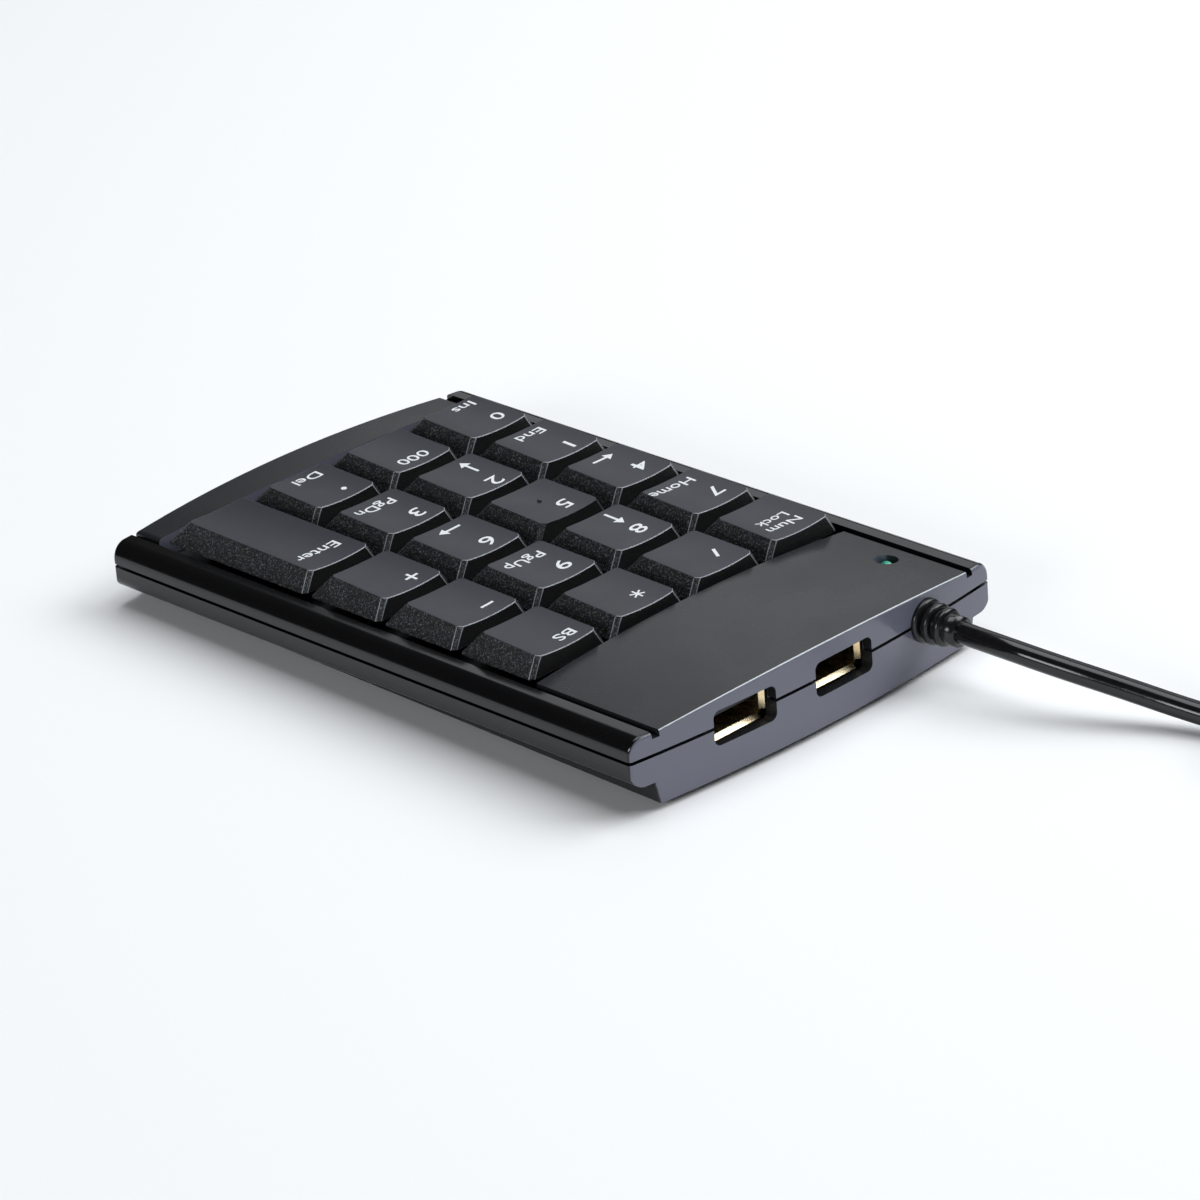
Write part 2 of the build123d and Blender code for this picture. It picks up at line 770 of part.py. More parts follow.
def cordTie():
    """A woven strap wrapped once round the bundle of turns."""
    width = coilOuter - coilInner
    height = coilTop - coilBottom
    outer = fillet(Rectangle(width + 2 * tieThick, height + 2 * tieThick).vertices(), 1.8 + tieThick)
    inner = fillet(Rectangle(width, height).vertices(), 1.8)
    band = extrude(outer - inner, tieWidth / 2, both=True)
    middle = (coilInner + coilOuter) / 2
    strap = Pos(0, middle, (coilBottom + coilTop) / 2) * Rot(0, 90, 0) * Rot(0, 0, 90) * band
    return Pos(coilCentre[0], coilCentre[1], 0) * Rot(0, 0, tieAngle) * strap


def plugPieces(start):
    """A USB plug lying on the table, pointing along -Y from the cord's end."""
    x, y, z = start
    grip = roundedBox(plugGripWidth, plugGripHeight, plugGripLength - 6, 2.2)
    neck = Cone(2.6, 3.6, 6.0, align=lowAlign)
    gripSolid = neck + Pos(0, 0, 6.0) * grip
    turned = Pos(x, y, z) * Rot(90, 0, 0)
    gripEnd = y - plugGripLength
    shell = Box(plugShellWidth, plugShellLength, plugShellHeight)
    shell -= Box(plugShellWidth - 0.6, plugShellLength + 1, plugShellHeight - 0.6)
    shell = Pos(x, gripEnd - plugShellLength / 2, z) * shell
    tongue = block(x - 5.6, x + 5.6, gripEnd - plugShellLength + 0.5, gripEnd, z - 1.9, z - 0.1)
    pins = []
    front = gripEnd - plugShellLength + 1.5
    for dx in contactX:
        pins.append(block(x + dx - contactHalf, x + dx + contactHalf, front, gripEnd, z - 0.1, z + 0.1))
    return {
        "plug_grip": turned * gripSolid,
        "plug_shell": shell,
        "plug_tongue": tongue,
        "plug_contacts": Compound(pins),
    }


def main():
    global standY, standZ
    standY = 0.0
    standZ = panMid * math.cos(tilt) + footProud
    shells = [stand(topShell()), stand(bottomShell())]
    box = Compound(shells).bounding_box()
    standY = -(box.min.Y + box.max.Y) / 2
    print("case", box.size, "shift", round(standY, 3), round(standZ, 3))
    top, bottom = [Pos(0, standY, 0) * shell for shell in shells]
    feet = rubberFeet()
    for x in (-footX, footX):
        for y in (-footY, footY):
            bottom -= post(x, y, -tall, footProud + footSeat, footRadius + 0.05)
    parts = {"top_shell": top, "bottom_shell": bottom, "rubber_feet": Compound(feet)}

    plated = {
        "key_frame": keyFrame(),
        "dome_sheet": domeSheet(),
        **membranes(),
        "backing_plate": layer(layerBottom(), layerBottom() + plateThick),
        "membrane_tail": membraneTail(),
        "hub_board": hubBoard(),
        "status_led": statusLed(),
        **boardPieces(),
        "case_screws": caseScrews(),
        "board_screws": boardScrews(),
        "strain_relief": strainRelief(),
        "cable_leads": cableLeads(),
    }
    for side, x in portX.items():
        plated["port_shell_" + side] = portShell(x)
        plated["port_tongue_" + side] = portTongue(x)
        plated["port_contacts_" + side] = portContacts(x)
    for name, column, low, high in keyCells():
        plated[name] = keycap(name, column, low, high)
    for name, shape in plated.items():
        parts[name] = stand(shape)

    lead, tail = cordRoutes()
    parts["cord_tube"] = cordTube(lead)
    parts["cord_tail"] = cordTube(tail)
    parts["cord_coil"] = cordCoil()
    parts["cord_tie"] = cordTie()
    parts.update(plugPieces(tail[-1]))

    os.makedirs("parts", exist_ok=True)
    for name, shape in parts.items():
        export_step(shape, f"parts/{name}.step")
    print(len(parts), "nodes")


main()
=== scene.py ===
import bmesh
import bpy
import json
import math
from mathutils import Matrix, Vector

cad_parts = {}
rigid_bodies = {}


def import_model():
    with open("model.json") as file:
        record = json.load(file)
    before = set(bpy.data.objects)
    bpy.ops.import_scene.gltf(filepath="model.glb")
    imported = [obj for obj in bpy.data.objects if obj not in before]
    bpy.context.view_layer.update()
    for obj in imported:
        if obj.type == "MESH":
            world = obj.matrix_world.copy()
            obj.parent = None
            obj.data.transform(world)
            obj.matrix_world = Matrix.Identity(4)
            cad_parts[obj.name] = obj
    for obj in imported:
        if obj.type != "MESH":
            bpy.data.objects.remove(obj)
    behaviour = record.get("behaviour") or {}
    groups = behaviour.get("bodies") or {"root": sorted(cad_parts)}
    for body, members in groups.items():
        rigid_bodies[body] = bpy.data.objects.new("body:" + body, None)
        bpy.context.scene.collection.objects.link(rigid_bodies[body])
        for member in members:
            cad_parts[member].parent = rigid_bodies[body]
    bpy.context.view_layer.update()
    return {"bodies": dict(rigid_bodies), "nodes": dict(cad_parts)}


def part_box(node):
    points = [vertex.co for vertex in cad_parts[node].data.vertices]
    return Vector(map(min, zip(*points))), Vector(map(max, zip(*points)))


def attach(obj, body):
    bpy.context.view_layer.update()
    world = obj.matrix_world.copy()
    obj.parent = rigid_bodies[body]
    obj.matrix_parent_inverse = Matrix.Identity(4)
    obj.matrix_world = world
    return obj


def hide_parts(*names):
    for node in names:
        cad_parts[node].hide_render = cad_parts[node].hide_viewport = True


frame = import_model()
mm = 0.001

# The keypad stands tilted on its feet. Key tops and ports are drawn in the plate's own frame,
# X across, Y from the user to the ports and Z off the key plate, and then stood up with this.
standing = {"wedge": 1.05, "shiftY": -0.042, "lift": 9.249}
plateToTable = Matrix.Translation((0, standing["shiftY"] * mm, standing["lift"] * mm)) @ Matrix.Rotation(
    math.radians(standing["wedge"]), 4, "X"
)
tableToPlate = plateToTable.inverted()
keyBodies = [body for body in frame["bodies"] if body.startswith("key_")]


cameraLook = {
    "place": (0.57907, 0.63587, 0.41718),
    "turn": (64.234, 3.559, 135.324),
    "lens": 162.17,
    "sensor": 36.0,
}


def makeCamera():
    data = bpy.data.cameras.new("camera")
    data.lens = cameraLook["lens"]
    data.sensor_width = cameraLook["sensor"]
    data.clip_start = 0.01
    data.clip_end = 50
    camera = bpy.data.objects.new("camera", data)
    camera.location = cameraLook["place"]
    camera.rotation_euler = [math.radians(angle) for angle in cameraLook["turn"]]
    bpy.context.scene.collection.objects.link(camera)
    bpy.context.scene.camera = camera


# direction is where the light stands, as azimuth from +X and elevation, in degrees
studioLights = {
    "overhead": {"azimuth": 200, "elevation": 80, "distance": 1.5, "size": (1.1, 1.1), "radiance": 3.2},
    "farWall": {"azimuth": 207, "elevation": 33, "distance": 1.8, "size": (1.5, 1.1), "radiance": 0.78},
    "portSide": {"azimuth": 150, "elevation": 42, "distance": 1.4, "size": (1.1, 0.8), "radiance": 5.0},
    "keySide": {"azimuth": 10, "elevation": 20, "distance": 1.6, "size": (0.8, 0.45), "radiance": 8.0},
}
lightColour = (0.94, 0.97, 1.0)


def makeLights():
    target = Vector((0, 0, 0.01))
    for name, look in studioLights.items():
        azimuth = math.radians(look["azimuth"])
        elevation = math.radians(look["elevation"])
        toLight = Vector(
            (
                math.cos(elevation) * math.cos(azimuth),
                math.cos(elevation) * math.sin(azimuth),
                math.sin(elevation),
            )
        )
        data = bpy.data.lights.new(name, "AREA")
        data.shape = "RECTANGLE"
        data.size, data.size_y = look["size"]
        data.energy = look["radiance"] * math.pi * data.size * data.size_y
        data.color = lightColour
        light = bpy.data.objects.new(name, data)
        light.location = target + toLight * look["distance"]
        light.rotation_euler = (-toLight).to_track_quat("-Z", "Y").to_euler()
        light.visible_camera = False
        bpy.context.scene.collection.objects.link(light)


roomLook = {"colour": (1.0, 1.0, 1.0, 1), "seen": 1.0, "light": 0.05}


def makeRoom():
    world = bpy.data.worlds.new("room")
    world.use_nodes = True
    nodes, links = world.node_tree.nodes, world.node_tree.links
    nodes.clear()
    output = nodes.new("ShaderNodeOutputWorld")
    paint = nodes.new("ShaderNodeBackground")
    paint.inputs["Color"].default_value = roomLook["colour"]
    path = nodes.new("ShaderNodeLightPath")
    strength = nodes.new("ShaderNodeMapRange")
    strength.inputs["To Min"].default_value = roomLook["light"]
    strength.inputs["To Max"].default_value = roomLook["seen"]
    links.new(path.outputs["Is Camera Ray"], strength.inputs["Value"])
    links.new(strength.outputs["Result"], paint.inputs["Strength"])
    links.new(paint.outputs["Background"], output.inputs["Surface"])
    bpy.context.scene.world = world
    bpy.context.scene.view_settings.view_transform = "Standard"
    bpy.context.scene.view_settings.look = "None"


floorLook = {"half": 4.0, "colour": (0.95, 0.95, 0.95, 1), "roughness": 0.7, "specular": 0.2}


def makeFloor():
    half = floorLook["half"]
    mesh = bpy.data.meshes.new("floor")
    corners = [(-half, -half, 0), (half, -half, 0), (half, half, 0), (-half, half, 0)]
    mesh.from_pydata(corners, [], [(0, 1, 2, 3)])
    floor = bpy.data.objects.new("floor", mesh)
    bpy.context.scene.collection.objects.link(floor)
    material, shader, tree = newMaterial("floorPaper")
    shader.inputs["Base Color"].default_value = floorLook["colour"]
    shader.inputs["Roughness"].default_value = floorLook["roughness"]
    shader.inputs["Specular IOR Level"].default_value = floorLook["specular"]
    mesh.materials.append(material)


def newMaterial(name):
    material = bpy.data.materials.new(name)
    material.use_nodes = True
    tree = material.node_tree
    return material, tree.nodes["Principled BSDF"], tree


def feed(tree, value, socket):
    if isinstance(value, bpy.types.NodeSocket):
        tree.links.new(value, socket)
    else:
        socket.default_value = value


def newShaderGroup(name, sizes, outputs):
    group = bpy.data.node_groups.new(name, "ShaderNodeTree")
    group.interface.new_socket("Vector", in_out="INPUT", socket_type="NodeSocketVector")
    for socket, size in sizes.items():
        made = group.interface.new_socket(socket, in_out="INPUT", socket_type="NodeSocketFloat")
        made.default_value = size
    for socket in outputs:
        group.interface.new_socket(socket, in_out="OUTPUT", socket_type="NodeSocketFloat")
    return group, group.nodes.new("NodeGroupInput"), group.nodes.new("NodeGroupOutput")


def mathNode(tree, operation, first, second=None):
    node = tree.nodes.new("ShaderNodeMath")
    node.operation = operation
    feed(tree, first, node.inputs[0])
    if second is not None:
        feed(tree, second, node.inputs[1])
    return node.outputs[0]


def noiseNode(tree, vector, scale, detail=2.0, roughness=0.5):
    node = tree.nodes.new("ShaderNodeTexNoise")
    node.inputs["Detail"].default_value = detail
    node.inputs["Roughness"].default_value = roughness
    tree.links.new(vector, node.inputs["Vector"])
    feed(tree, scale, node.inputs["Scale"])
    return node.outputs["Fac"]


def rangeNode(tree, value, low, high, toLow=0.0, toHigh=1.0, smooth=False):
    node = tree.nodes.new("ShaderNodeMapRange")
    if smooth:
        node.interpolation_type = "SMOOTHSTEP"
    tree.links.new(value, node.inputs["Value"])
    for socket, setting in (("From Min", low), ("From Max", high), ("To Min", toLow), ("To Max", toHigh)):
        feed(tree, setting, node.inputs[socket])
    return node.outputs["Result"]


def bandNode(tree, value, low, high, soft):
    rising = rangeNode(tree, value, low, low + soft, smooth=True)
    falling = rangeNode(tree, value, high - soft, high, 1.0, 0.0, smooth=True)
    return mathNode(tree, "MULTIPLY", rising, falling)


def mixColours(tree, mask, first, second):
    node = tree.nodes.new("ShaderNodeMix")
    node.data_type = "RGBA"
    tree.links.new(mask, node.inputs[0])
    feed(tree, first, node.inputs[6])  # 6, 7 and output 2 are the colour sockets of a Mix node
    feed(tree, second, node.inputs[7])
    return node.outputs[2]


def dustOver(tree, colour, dust, share, tone):
    return mixColours(tree, mathNode(tree, "MULTIPLY", dust, share), colour, (tone, tone, tone, 1))


def objectCoordinates(tree):
    return tree.nodes.new("ShaderNodeTexCoord").outputs["Object"]


def splitVector(tree, vector):
    node = tree.nodes.new("ShaderNodeSeparateXYZ")
    tree.links.new(vector, node.inputs[0])
    return node.outputs


def makeGrainGroup():
    sizes = {"Grain Size": 0.0002, "Sharpness": 0.3}
    group, given, made = newShaderGroup("mouldGrain", sizes, ("Height", "Mask"))
    scale = mathNode(group, "DIVIDE", 1.0, given.outputs["Grain Size"])
    fine = noiseNode(group, given.outputs["Vector"], scale, detail=3.0, roughness=0.6)
    half = mathNode(group, "MULTIPLY", given.outputs["Sharpness"], 0.5)
    low = mathNode(group, "SUBTRACT", 0.5, half)
    high = mathNode(group, "ADD", 0.5, half)
    group.links.new(fine, made.inputs["Height"])
    group.links.new(rangeNode(group, fine, low, high), made.inputs["Mask"])
    return group


def makeHandlingGroup():
    group, given, made = newShaderGroup("handling", {"Patch Size": 0.02, "Amount": 1.0}, ("Smudge", "Dust"))
    broad = mathNode(group, "DIVIDE", 1.0, given.outputs["Patch Size"])
    smear = noiseNode(group, given.outputs["Vector"], broad, detail=4.0, roughness=0.55)
    smudge = mathNode(group, "MULTIPLY", rangeNode(group, smear, 0.42, 0.7), given.outputs["Amount"])
    specks = group.nodes.new("ShaderNodeTexVoronoi")
    group.links.new(given.outputs["Vector"], specks.inputs["Vector"])
    speckScale = mathNode(group, "MULTIPLY", broad, 14.0)
    group.links.new(speckScale, specks.inputs["Scale"])
    near = rangeNode(group, specks.outputs["Distance"], 0.0, 0.07, 1.0, 0.0)
    dust = mathNode(group, "MULTIPLY", near, rangeNode(group, smear, 0.5, 0.62))
    group.links.new(smudge, made.inputs["Smudge"])
    group.links.new(mathNode(group, "MULTIPLY", dust, given.outputs["Amount"]), made.inputs["Dust"])
    return group


def makeBrushedGroup():
    group, given, made = newShaderGroup("brushedMetal", {"Line Width": 0.0001}, ("Line", "Stain"))
    stretch = group.nodes.new("ShaderNodeVectorMath")
    stretch.operation = "MULTIPLY"
    stretch.inputs[1].default_value = (1.0, 0.03, 1.0)  # the lines run along Y
    group.links.new(given.outputs["Vector"], stretch.inputs[0])
    scale = mathNode(group, "DIVIDE", 1.0, given.outputs["Line Width"])
    group.links.new(noiseNode(group, stretch.outputs[0], scale), made.inputs["Line"])
    group.links.new(noiseNode(group, given.outputs["Vector"], 160.0, detail=4.0), made.inputs["Stain"])
    return group


def placeGroup(tree, group, vector, **values):
    node = tree.nodes.new("ShaderNodeGroup")
    node.node_tree = group
    tree.links.new(vector, node.inputs["Vector"])
    for name, value in values.items():
        node.inputs[name.replace("_", " ")].default_value = value
    return node.outputs


def bumpInto(tree, shader, height, distance, strength=1.0):
    bump = tree.nodes.new("ShaderNodeBump")
    bump.inputs["Strength"].default_value = strength
    bump.inputs["Distance"].default_value = distance
    tree.links.new(height, bump.inputs["Height"])
    tree.links.new(bump.outputs["Normal"], shader.inputs["Normal"])


groups = {}
materials = {}
# marks of use: patch is the size of a smudge in m, dust how much of a fleck covers, tone its grey
wearLook = {
    "plastic": {"patch": 0.012, "dust": 0.35, "tone": 0.25},
    "casing": {"patch": 0.018, "dust": 0.25, "tone": 0.3},
    "keys": {"patch": 0.009, "dust": 0.3, "tone": 0.3},
}


plasticLooks = {
    "guidePlastic": {"dark": 0.006, "light": 0.010, "rough": 0.55, "grain": 0.0003, "bump": 0.00003},
    "cordPlastic": {"dark": 0.004, "light": 0.007, "rough": 0.12, "grain": 0.0012, "bump": 0.000012},
    "reliefPlastic": {"dark": 0.005, "light": 0.009, "rough": 0.2, "grain": 0.0007, "bump": 0.000015},
    "footRubber": {"dark": 0.010, "light": 0.02, "rough": 0.75, "grain": 0.0003, "bump": 0.00003},
    "insulator": {"dark": 0.012, "light": 0.02, "rough": 0.4, "grain": 0.0003, "bump": 0.00001},
    "chipMoulding": {"dark": 0.01, "light": 0.018, "rough": 0.5, "grain": 0.0002, "bump": 0.00001},
}


def makePlastic(name, look):
    material, shader, tree = newMaterial(name)
    place = objectCoordinates(tree)
    grain = placeGroup(tree, groups["grain"], place, Grain_Size=look["grain"], Sharpness=0.4)
    wear = wearLook["plastic"]
    worn = placeGroup(tree, groups["handling"], place, Patch_Size=wear["patch"])
    dark = (look["dark"], look["dark"], look["dark"] * 1.1, 1)
    light = (look["light"], look["light"], look["light"] * 1.12, 1)
    colour = mixColours(tree, grain["Mask"], dark, light)
    colour = dustOver(tree, colour, worn["Dust"], wear["dust"], wear["tone"])
    tree.links.new(colour, shader.inputs["Base Color"])
    rough = rangeNode(tree, worn["Smudge"], 0.0, 1.0, look["rough"], look["rough"] + 0.1)
    tree.links.new(rough, shader.inputs["Roughness"])
    bumpInto(tree, shader, grain["Height"], look["bump"])
    return material


casingLook = {
    "railFrom": 38.95,  # mm from the middle, in the groove beside each rail
    "railColour": (0.002, 0.0021, 0.0025, 1),
    "deckColour": (0.017, 0.0175, 0.020, 1),
    # painted light: faces that look along Y, the back face most of all, get a much lighter colour than the
    # deck, as if strongly lit
    "endColour": (0.145, 0.152, 0.195, 1),
    "railRough": 0.13,
    "deckRough": 0.26,
    "edgeColour": (0.5, 0.52, 0.55, 1),
    "highlightFacing": (0.25, 0.8),  # normals along Y of the hub panel's bevel, which gets a painted highlight
    "edgeRising": (0.3, 0.5),
    "endFrom": (0.55, 0.8),  # how squarely a face looks along Y before it counts as an end
    "grain": 0.00016,
    "bump": 0.000006,
    "smudge": 0.06,
}


def makeCasing():
    material, shader, tree = newMaterial("casingPlastic")
    place = objectCoordinates(tree)
    across = mathNode(tree, "ABSOLUTE", splitVector(tree, place)[0])
    edge = casingLook["railFrom"] * mm
    rail = rangeNode(tree, across, edge - 0.2 * mm, edge + 0.2 * mm)
    facing = tree.nodes.new("ShaderNodeNewGeometry").outputs["Normal"]
    alongY = mathNode(tree, "ABSOLUTE", splitVector(tree, facing)[1])
    end = rangeNode(tree, alongY, *casingLook["endFrom"], smooth=True)
    grain = placeGroup(tree, groups["grain"], place, Grain_Size=casingLook["grain"], Sharpness=0.5)
    wear = wearLook["casing"]
    worn = placeGroup(tree, groups["handling"], place, Patch_Size=wear["patch"])
    colour = mixColours(tree, rail, casingLook["deckColour"], casingLook["railColour"])
    # painted light: faces looking along Y are mixed to the lighter end colour
    colour = mixColours(tree, end, colour, casingLook["endColour"])
    # painted highlight: the hub panel's bevel, where it rises and faces the ports' end, is painted light, but
    # not on the rails
    paintedEdgeHighlight = bandNode(tree, splitVector(tree, facing)[1], *casingLook["highlightFacing"], 0.06)
    paintedEdgeHighlight = mathNode(tree, "MULTIPLY", paintedEdgeHighlight, mathNode(tree, "SUBTRACT", 1.0, rail))
    rising = rangeNode(tree, splitVector(tree, facing)[2], *casingLook["edgeRising"])
    paintedEdgeHighlight = mathNode(tree, "MULTIPLY", paintedEdgeHighlight, rising)
    colour = mixColours(tree, paintedEdgeHighlight, colour, casingLook["edgeColour"])
    colour = dustOver(tree, colour, worn["Dust"], wear["dust"], wear["tone"])
    tree.links.new(colour, shader.inputs["Base Color"])
    gloss = mathNode(tree, "MAXIMUM", rail, end)
    rough = rangeNode(tree, gloss, 0.0, 1.0, casingLook["deckRough"], casingLook["railRough"])
    rough = mathNode(tree, "ADD", rough, mathNode(tree, "MULTIPLY", worn["Smudge"], casingLook["smudge"]))
    tree.links.new(rough, shader.inputs["Roughness"])
    matte = mathNode(tree, "SUBTRACT", 1.0, gloss)
    bumpInto(tree, shader, mathNode(tree, "MULTIPLY", grain["Height"], matte), casingLook["bump"])
    return material


keyLook = {
    "topColour": (0.024, 0.026, 0.034, 1),
    "skirtColour": (0.0015, 0.0016, 0.002, 1),
    # painted shade: skirts that face the ports' end are darker than the other skirts, as if unlit
    "shadedBackColour": (0.0005, 0.0006, 0.0008, 1),
    # painted highlight: bright specks on the skirts' grain stand in for glints of light
    "sparkle": (0.13, 0.137, 0.15, 1),
    # painted highlight: a light colour on the key bevels that face the ports' end, as if they caught the light
    "edgeColour": (0.26, 0.275, 0.30, 1),
    "edgeRough": 0.2,
    "highlightFacing": (0.2, 0.985),  # normals along Y that only the bevels beside the ports' end have, which get a painted highlight
    "facetFacing": (0.5, 0.78),  # normals along X of the cut corners, which stay dark, without the painted highlight
    "backFrom": (0.75, 0.95),  # how squarely a skirt looks at the ports before it gets painted shade and no painted glints
    "topRough": 0.34,
    "skirtRough": 0.5,
    "topFrom": (0.8, 0.93),  # how squarely a face looks up before it counts as the key's top
    "sparkleSize": 0.00029,
    "sparkleFrom": (0.53, 0.66),  # how high a grain stands before it gets a painted glint
    "fineGrain": 0.00012,
    "bump": 0.00009,
    "smudge": 0.05,
}


def makeKeyPlastic():
    material, shader, tree = newMaterial("keyPlastic")
    place = objectCoordinates(tree)
    facing = tree.nodes.new("ShaderNodeNewGeometry").outputs["Normal"]
    top = rangeNode(tree, splitVector(tree, facing)[2], *keyLook["topFrom"], smooth=True)
    skirt = mathNode(tree, "SUBTRACT", 1.0, top)
    rough = placeGroup(tree, groups["grain"], place, Grain_Size=keyLook["sparkleSize"], Sharpness=0.2)
    fine = placeGroup(tree, groups["grain"], place, Grain_Size=keyLook["fineGrain"], Sharpness=0.6)
    wear = wearLook["keys"]
    worn = placeGroup(tree, groups["handling"], place, Patch_Size=wear["patch"])
    back = rangeNode(tree, splitVector(tree, facing)[1], *keyLook["backFrom"], smooth=True)
    # painted glints on the skirts' grain, none on skirts facing the ports
    paintedGlint = mathNode(tree, "MULTIPLY", rangeNode(tree, rough["Height"], *keyLook["sparkleFrom"]), skirt)
    paintedGlint = mathNode(tree, "MULTIPLY", paintedGlint, mathNode(tree, "SUBTRACT", 1.0, back))
    # painted shade on the skirts facing the ports
    colour = mixColours(tree, back, keyLook["skirtColour"], keyLook["shadedBackColour"])
    colour = mixColours(tree, top, colour, keyLook["topColour"])
    sideways = mathNode(tree, "ABSOLUTE", splitVector(tree, facing)[0])
    facet = bandNode(tree, sideways, *keyLook["facetFacing"], 0.04)
    edge = bandNode(tree, splitVector(tree, facing)[1], *keyLook["highlightFacing"], 0.05)
    edge = mathNode(tree, "MULTIPLY", edge, mathNode(tree, "SUBTRACT", 1.0, facet))
    # the small raised dot on the 5 gets no painted highlight and keeps the colour of the top around it
    nubX, nubY, _ = keyMiddle("key_5")
    nubY += keySizes["shift"] - keySizes["nubBehind"]
    away = tree.nodes.new("ShaderNodeVectorMath")
    away.operation = "DISTANCE"
    tree.links.new(place, away.inputs[0])
    away.inputs[1].default_value = plateToTable @ (Vector((nubX, nubY, keySizes["backZ"])) * mm)
    clear = rangeNode(tree, away.outputs["Value"], *(reach * mm for reach in keySizes["nubClear"]))
    edge = mathNode(tree, "MULTIPLY", edge, clear)
    # painted highlight mixed onto the bevels facing the ports' end
    colour = mixColours(tree, edge, colour, keyLook["edgeColour"])
    # painted glints mixed onto the skirts
    colour = mixColours(tree, paintedGlint, colour, keyLook["sparkle"])
    colour = dustOver(tree, colour, worn["Dust"], wear["dust"], wear["tone"])
    tree.links.new(colour, shader.inputs["Base Color"])
    base = rangeNode(tree, top, 0.0, 1.0, keyLook["skirtRough"], keyLook["topRough"])
    base = rangeNode(tree, edge, 0.0, 1.0, base, keyLook["edgeRough"])
    shine = mathNode(tree, "ADD", base, mathNode(tree, "MULTIPLY", worn["Smudge"], keyLook["smudge"]))
    tree.links.new(shine, shader.inputs["Roughness"])
    heights = mathNode(tree, "MULTIPLY", rough["Height"], skirt)
    heights = mathNode(tree, "ADD", heights, mathNode(tree, "MULTIPLY", fine["Height"], 0.05))
    bumpInto(tree, shader, heights, keyLook["bump"])
    return material


metalLooks = {
    "portMetal": {
        "colour": (1.0, 0.84, 0.56), "stained": (0.8, 0.55, 0.26),
        "rough": 0.27, "line": 0.00012,
    },
    "contactMetal": {
        "colour": (1.0, 0.76, 0.34), "stained": (0.85, 0.6, 0.25),
        "rough": 0.18, "line": 0.0001,
    },
    "screwMetal": {
        "colour": (0.12, 0.12, 0.125), "stained": (0.05, 0.05, 0.055),
        "rough": 0.35, "line": 0.0001,
    },
    "plateMetal": {"colour": (0.62, 0.63, 0.64), "stained": (0.5, 0.5, 0.5), "rough": 0.35, "line": 0.0002},
    "canMetal": {"colour": (0.75, 0.75, 0.76), "stained": (0.6, 0.6, 0.6), "rough": 0.2, "line": 0.0002},
    "plugMetal": {
        "colour": (0.82, 0.82, 0.84), "stained": (0.66, 0.66, 0.68),
        "rough": 0.17, "line": 0.00015,
    },
}


def makeMetal(name, look):
    material, shader, tree = newMaterial(name)
    place = objectCoordinates(tree)
    brushed = placeGroup(tree, groups["brushed"], place, Line_Width=look["line"])
    stain = rangeNode(tree, brushed["Stain"], 0.45, 0.75)
    colour = mixColours(tree, stain, (*look["colour"], 1), (*look["stained"], 1))
    tree.links.new(colour, shader.inputs["Base Color"])
    shader.inputs["Metallic"].default_value = 1.0
    rough = rangeNode(tree, brushed["Line"], 0.3, 0.7, look["rough"] - 0.05, look["rough"] + 0.08)
    tree.links.new(rough, shader.inputs["Roughness"])
    bumpInto(tree, shader, brushed["Line"], 0.000002)
    return material


inkLook = {"colour": (0.80, 0.82, 0.84, 1), "thin": (0.5, 0.52, 0.55, 1), "rough": 0.45}


def makeInk():
    material, shader, tree = newMaterial("legendInk")
    place = objectCoordinates(tree)
    grain = placeGroup(tree, groups["grain"], place, Grain_Size=0.00025, Sharpness=0.3)
    thin = mathNode(tree, "MULTIPLY", rangeNode(tree, grain["Height"], 0.62, 0.75), 0.6)
    tree.links.new(mixColours(tree, thin, inkLook["colour"], inkLook["thin"]), shader.inputs["Base Color"])
    shader.inputs["Roughness"].default_value = inkLook["rough"]
    bumpInto(tree, shader, grain["Height"], 0.000004)
    return material


# painted light: the weak emission stands in for light passing through the clear green resin
lampLook = {"colour": (0.012, 0.36, 0.22, 1), "deep": (0.006, 0.2, 0.13, 1), "rough": 0.08, "glow": 0.1}


def makeLampResin():
    material, shader, tree = newMaterial("lampResin")
    place = objectCoordinates(tree)
    depth = placeGroup(tree, groups["grain"], place, Grain_Size=0.0009, Sharpness=0.8)
    colour = mixColours(tree, depth["Mask"], lampLook["deep"], lampLook["colour"])
    tree.links.new(colour, shader.inputs["Base Color"])
    shader.inputs["Roughness"].default_value = lampLook["rough"]
    # painted glow in the resin's own colour
    shader.inputs["Emission Color"].default_value = lampLook["colour"]
    shader.inputs["Emission Strength"].default_value = lampLook["glow"]
    shader.inputs["Coat Weight"].default_value = 0.6
    bumpInto(tree, shader, depth["Height"], 0.000004)
    return material


patternLooks = {
    "boardLaminate": {
        "ground": (0.005, 0.06, 0.025, 1), "line": (0.02, 0.15, 0.06, 1),
        "pitch": 0.0016, "rough": 0.3,
    },
    "printedFilm": {
        "ground": (0.55, 0.6, 0.62, 1), "line": (0.30, 0.31, 0.33, 1),
        "pitch": 0.004, "rough": 0.25,
    },
    "domeSilicone": {
        "ground": (0.42, 0.43, 0.42, 1), "line": (0.5, 0.5, 0.49, 1),
        "pitch": 0.003, "rough": 0.5,
    },
    "nylonHousing": {
        "ground": (0.62, 0.6, 0.52, 1), "line": (0.7, 0.68, 0.6, 1),
        "pitch": 0.002, "rough": 0.45,
    },
    "ceramicBody": {
        "ground": (0.3, 0.22, 0.14, 1), "line": (0.55, 0.5, 0.45, 1),
        "pitch": 0.0012, "rough": 0.4,
    },
    "canSleeve": {
        "ground": (0.01, 0.02, 0.07, 1), "line": (0.3, 0.32, 0.36, 1),
        "pitch": 0.003, "rough": 0.25,
    },
    "tieWeave": {
        "ground": (0.008, 0.008, 0.009, 1), "line": (0.03, 0.03, 0.032, 1),
        "pitch": 0.0007, "rough": 0.85,
    },
}


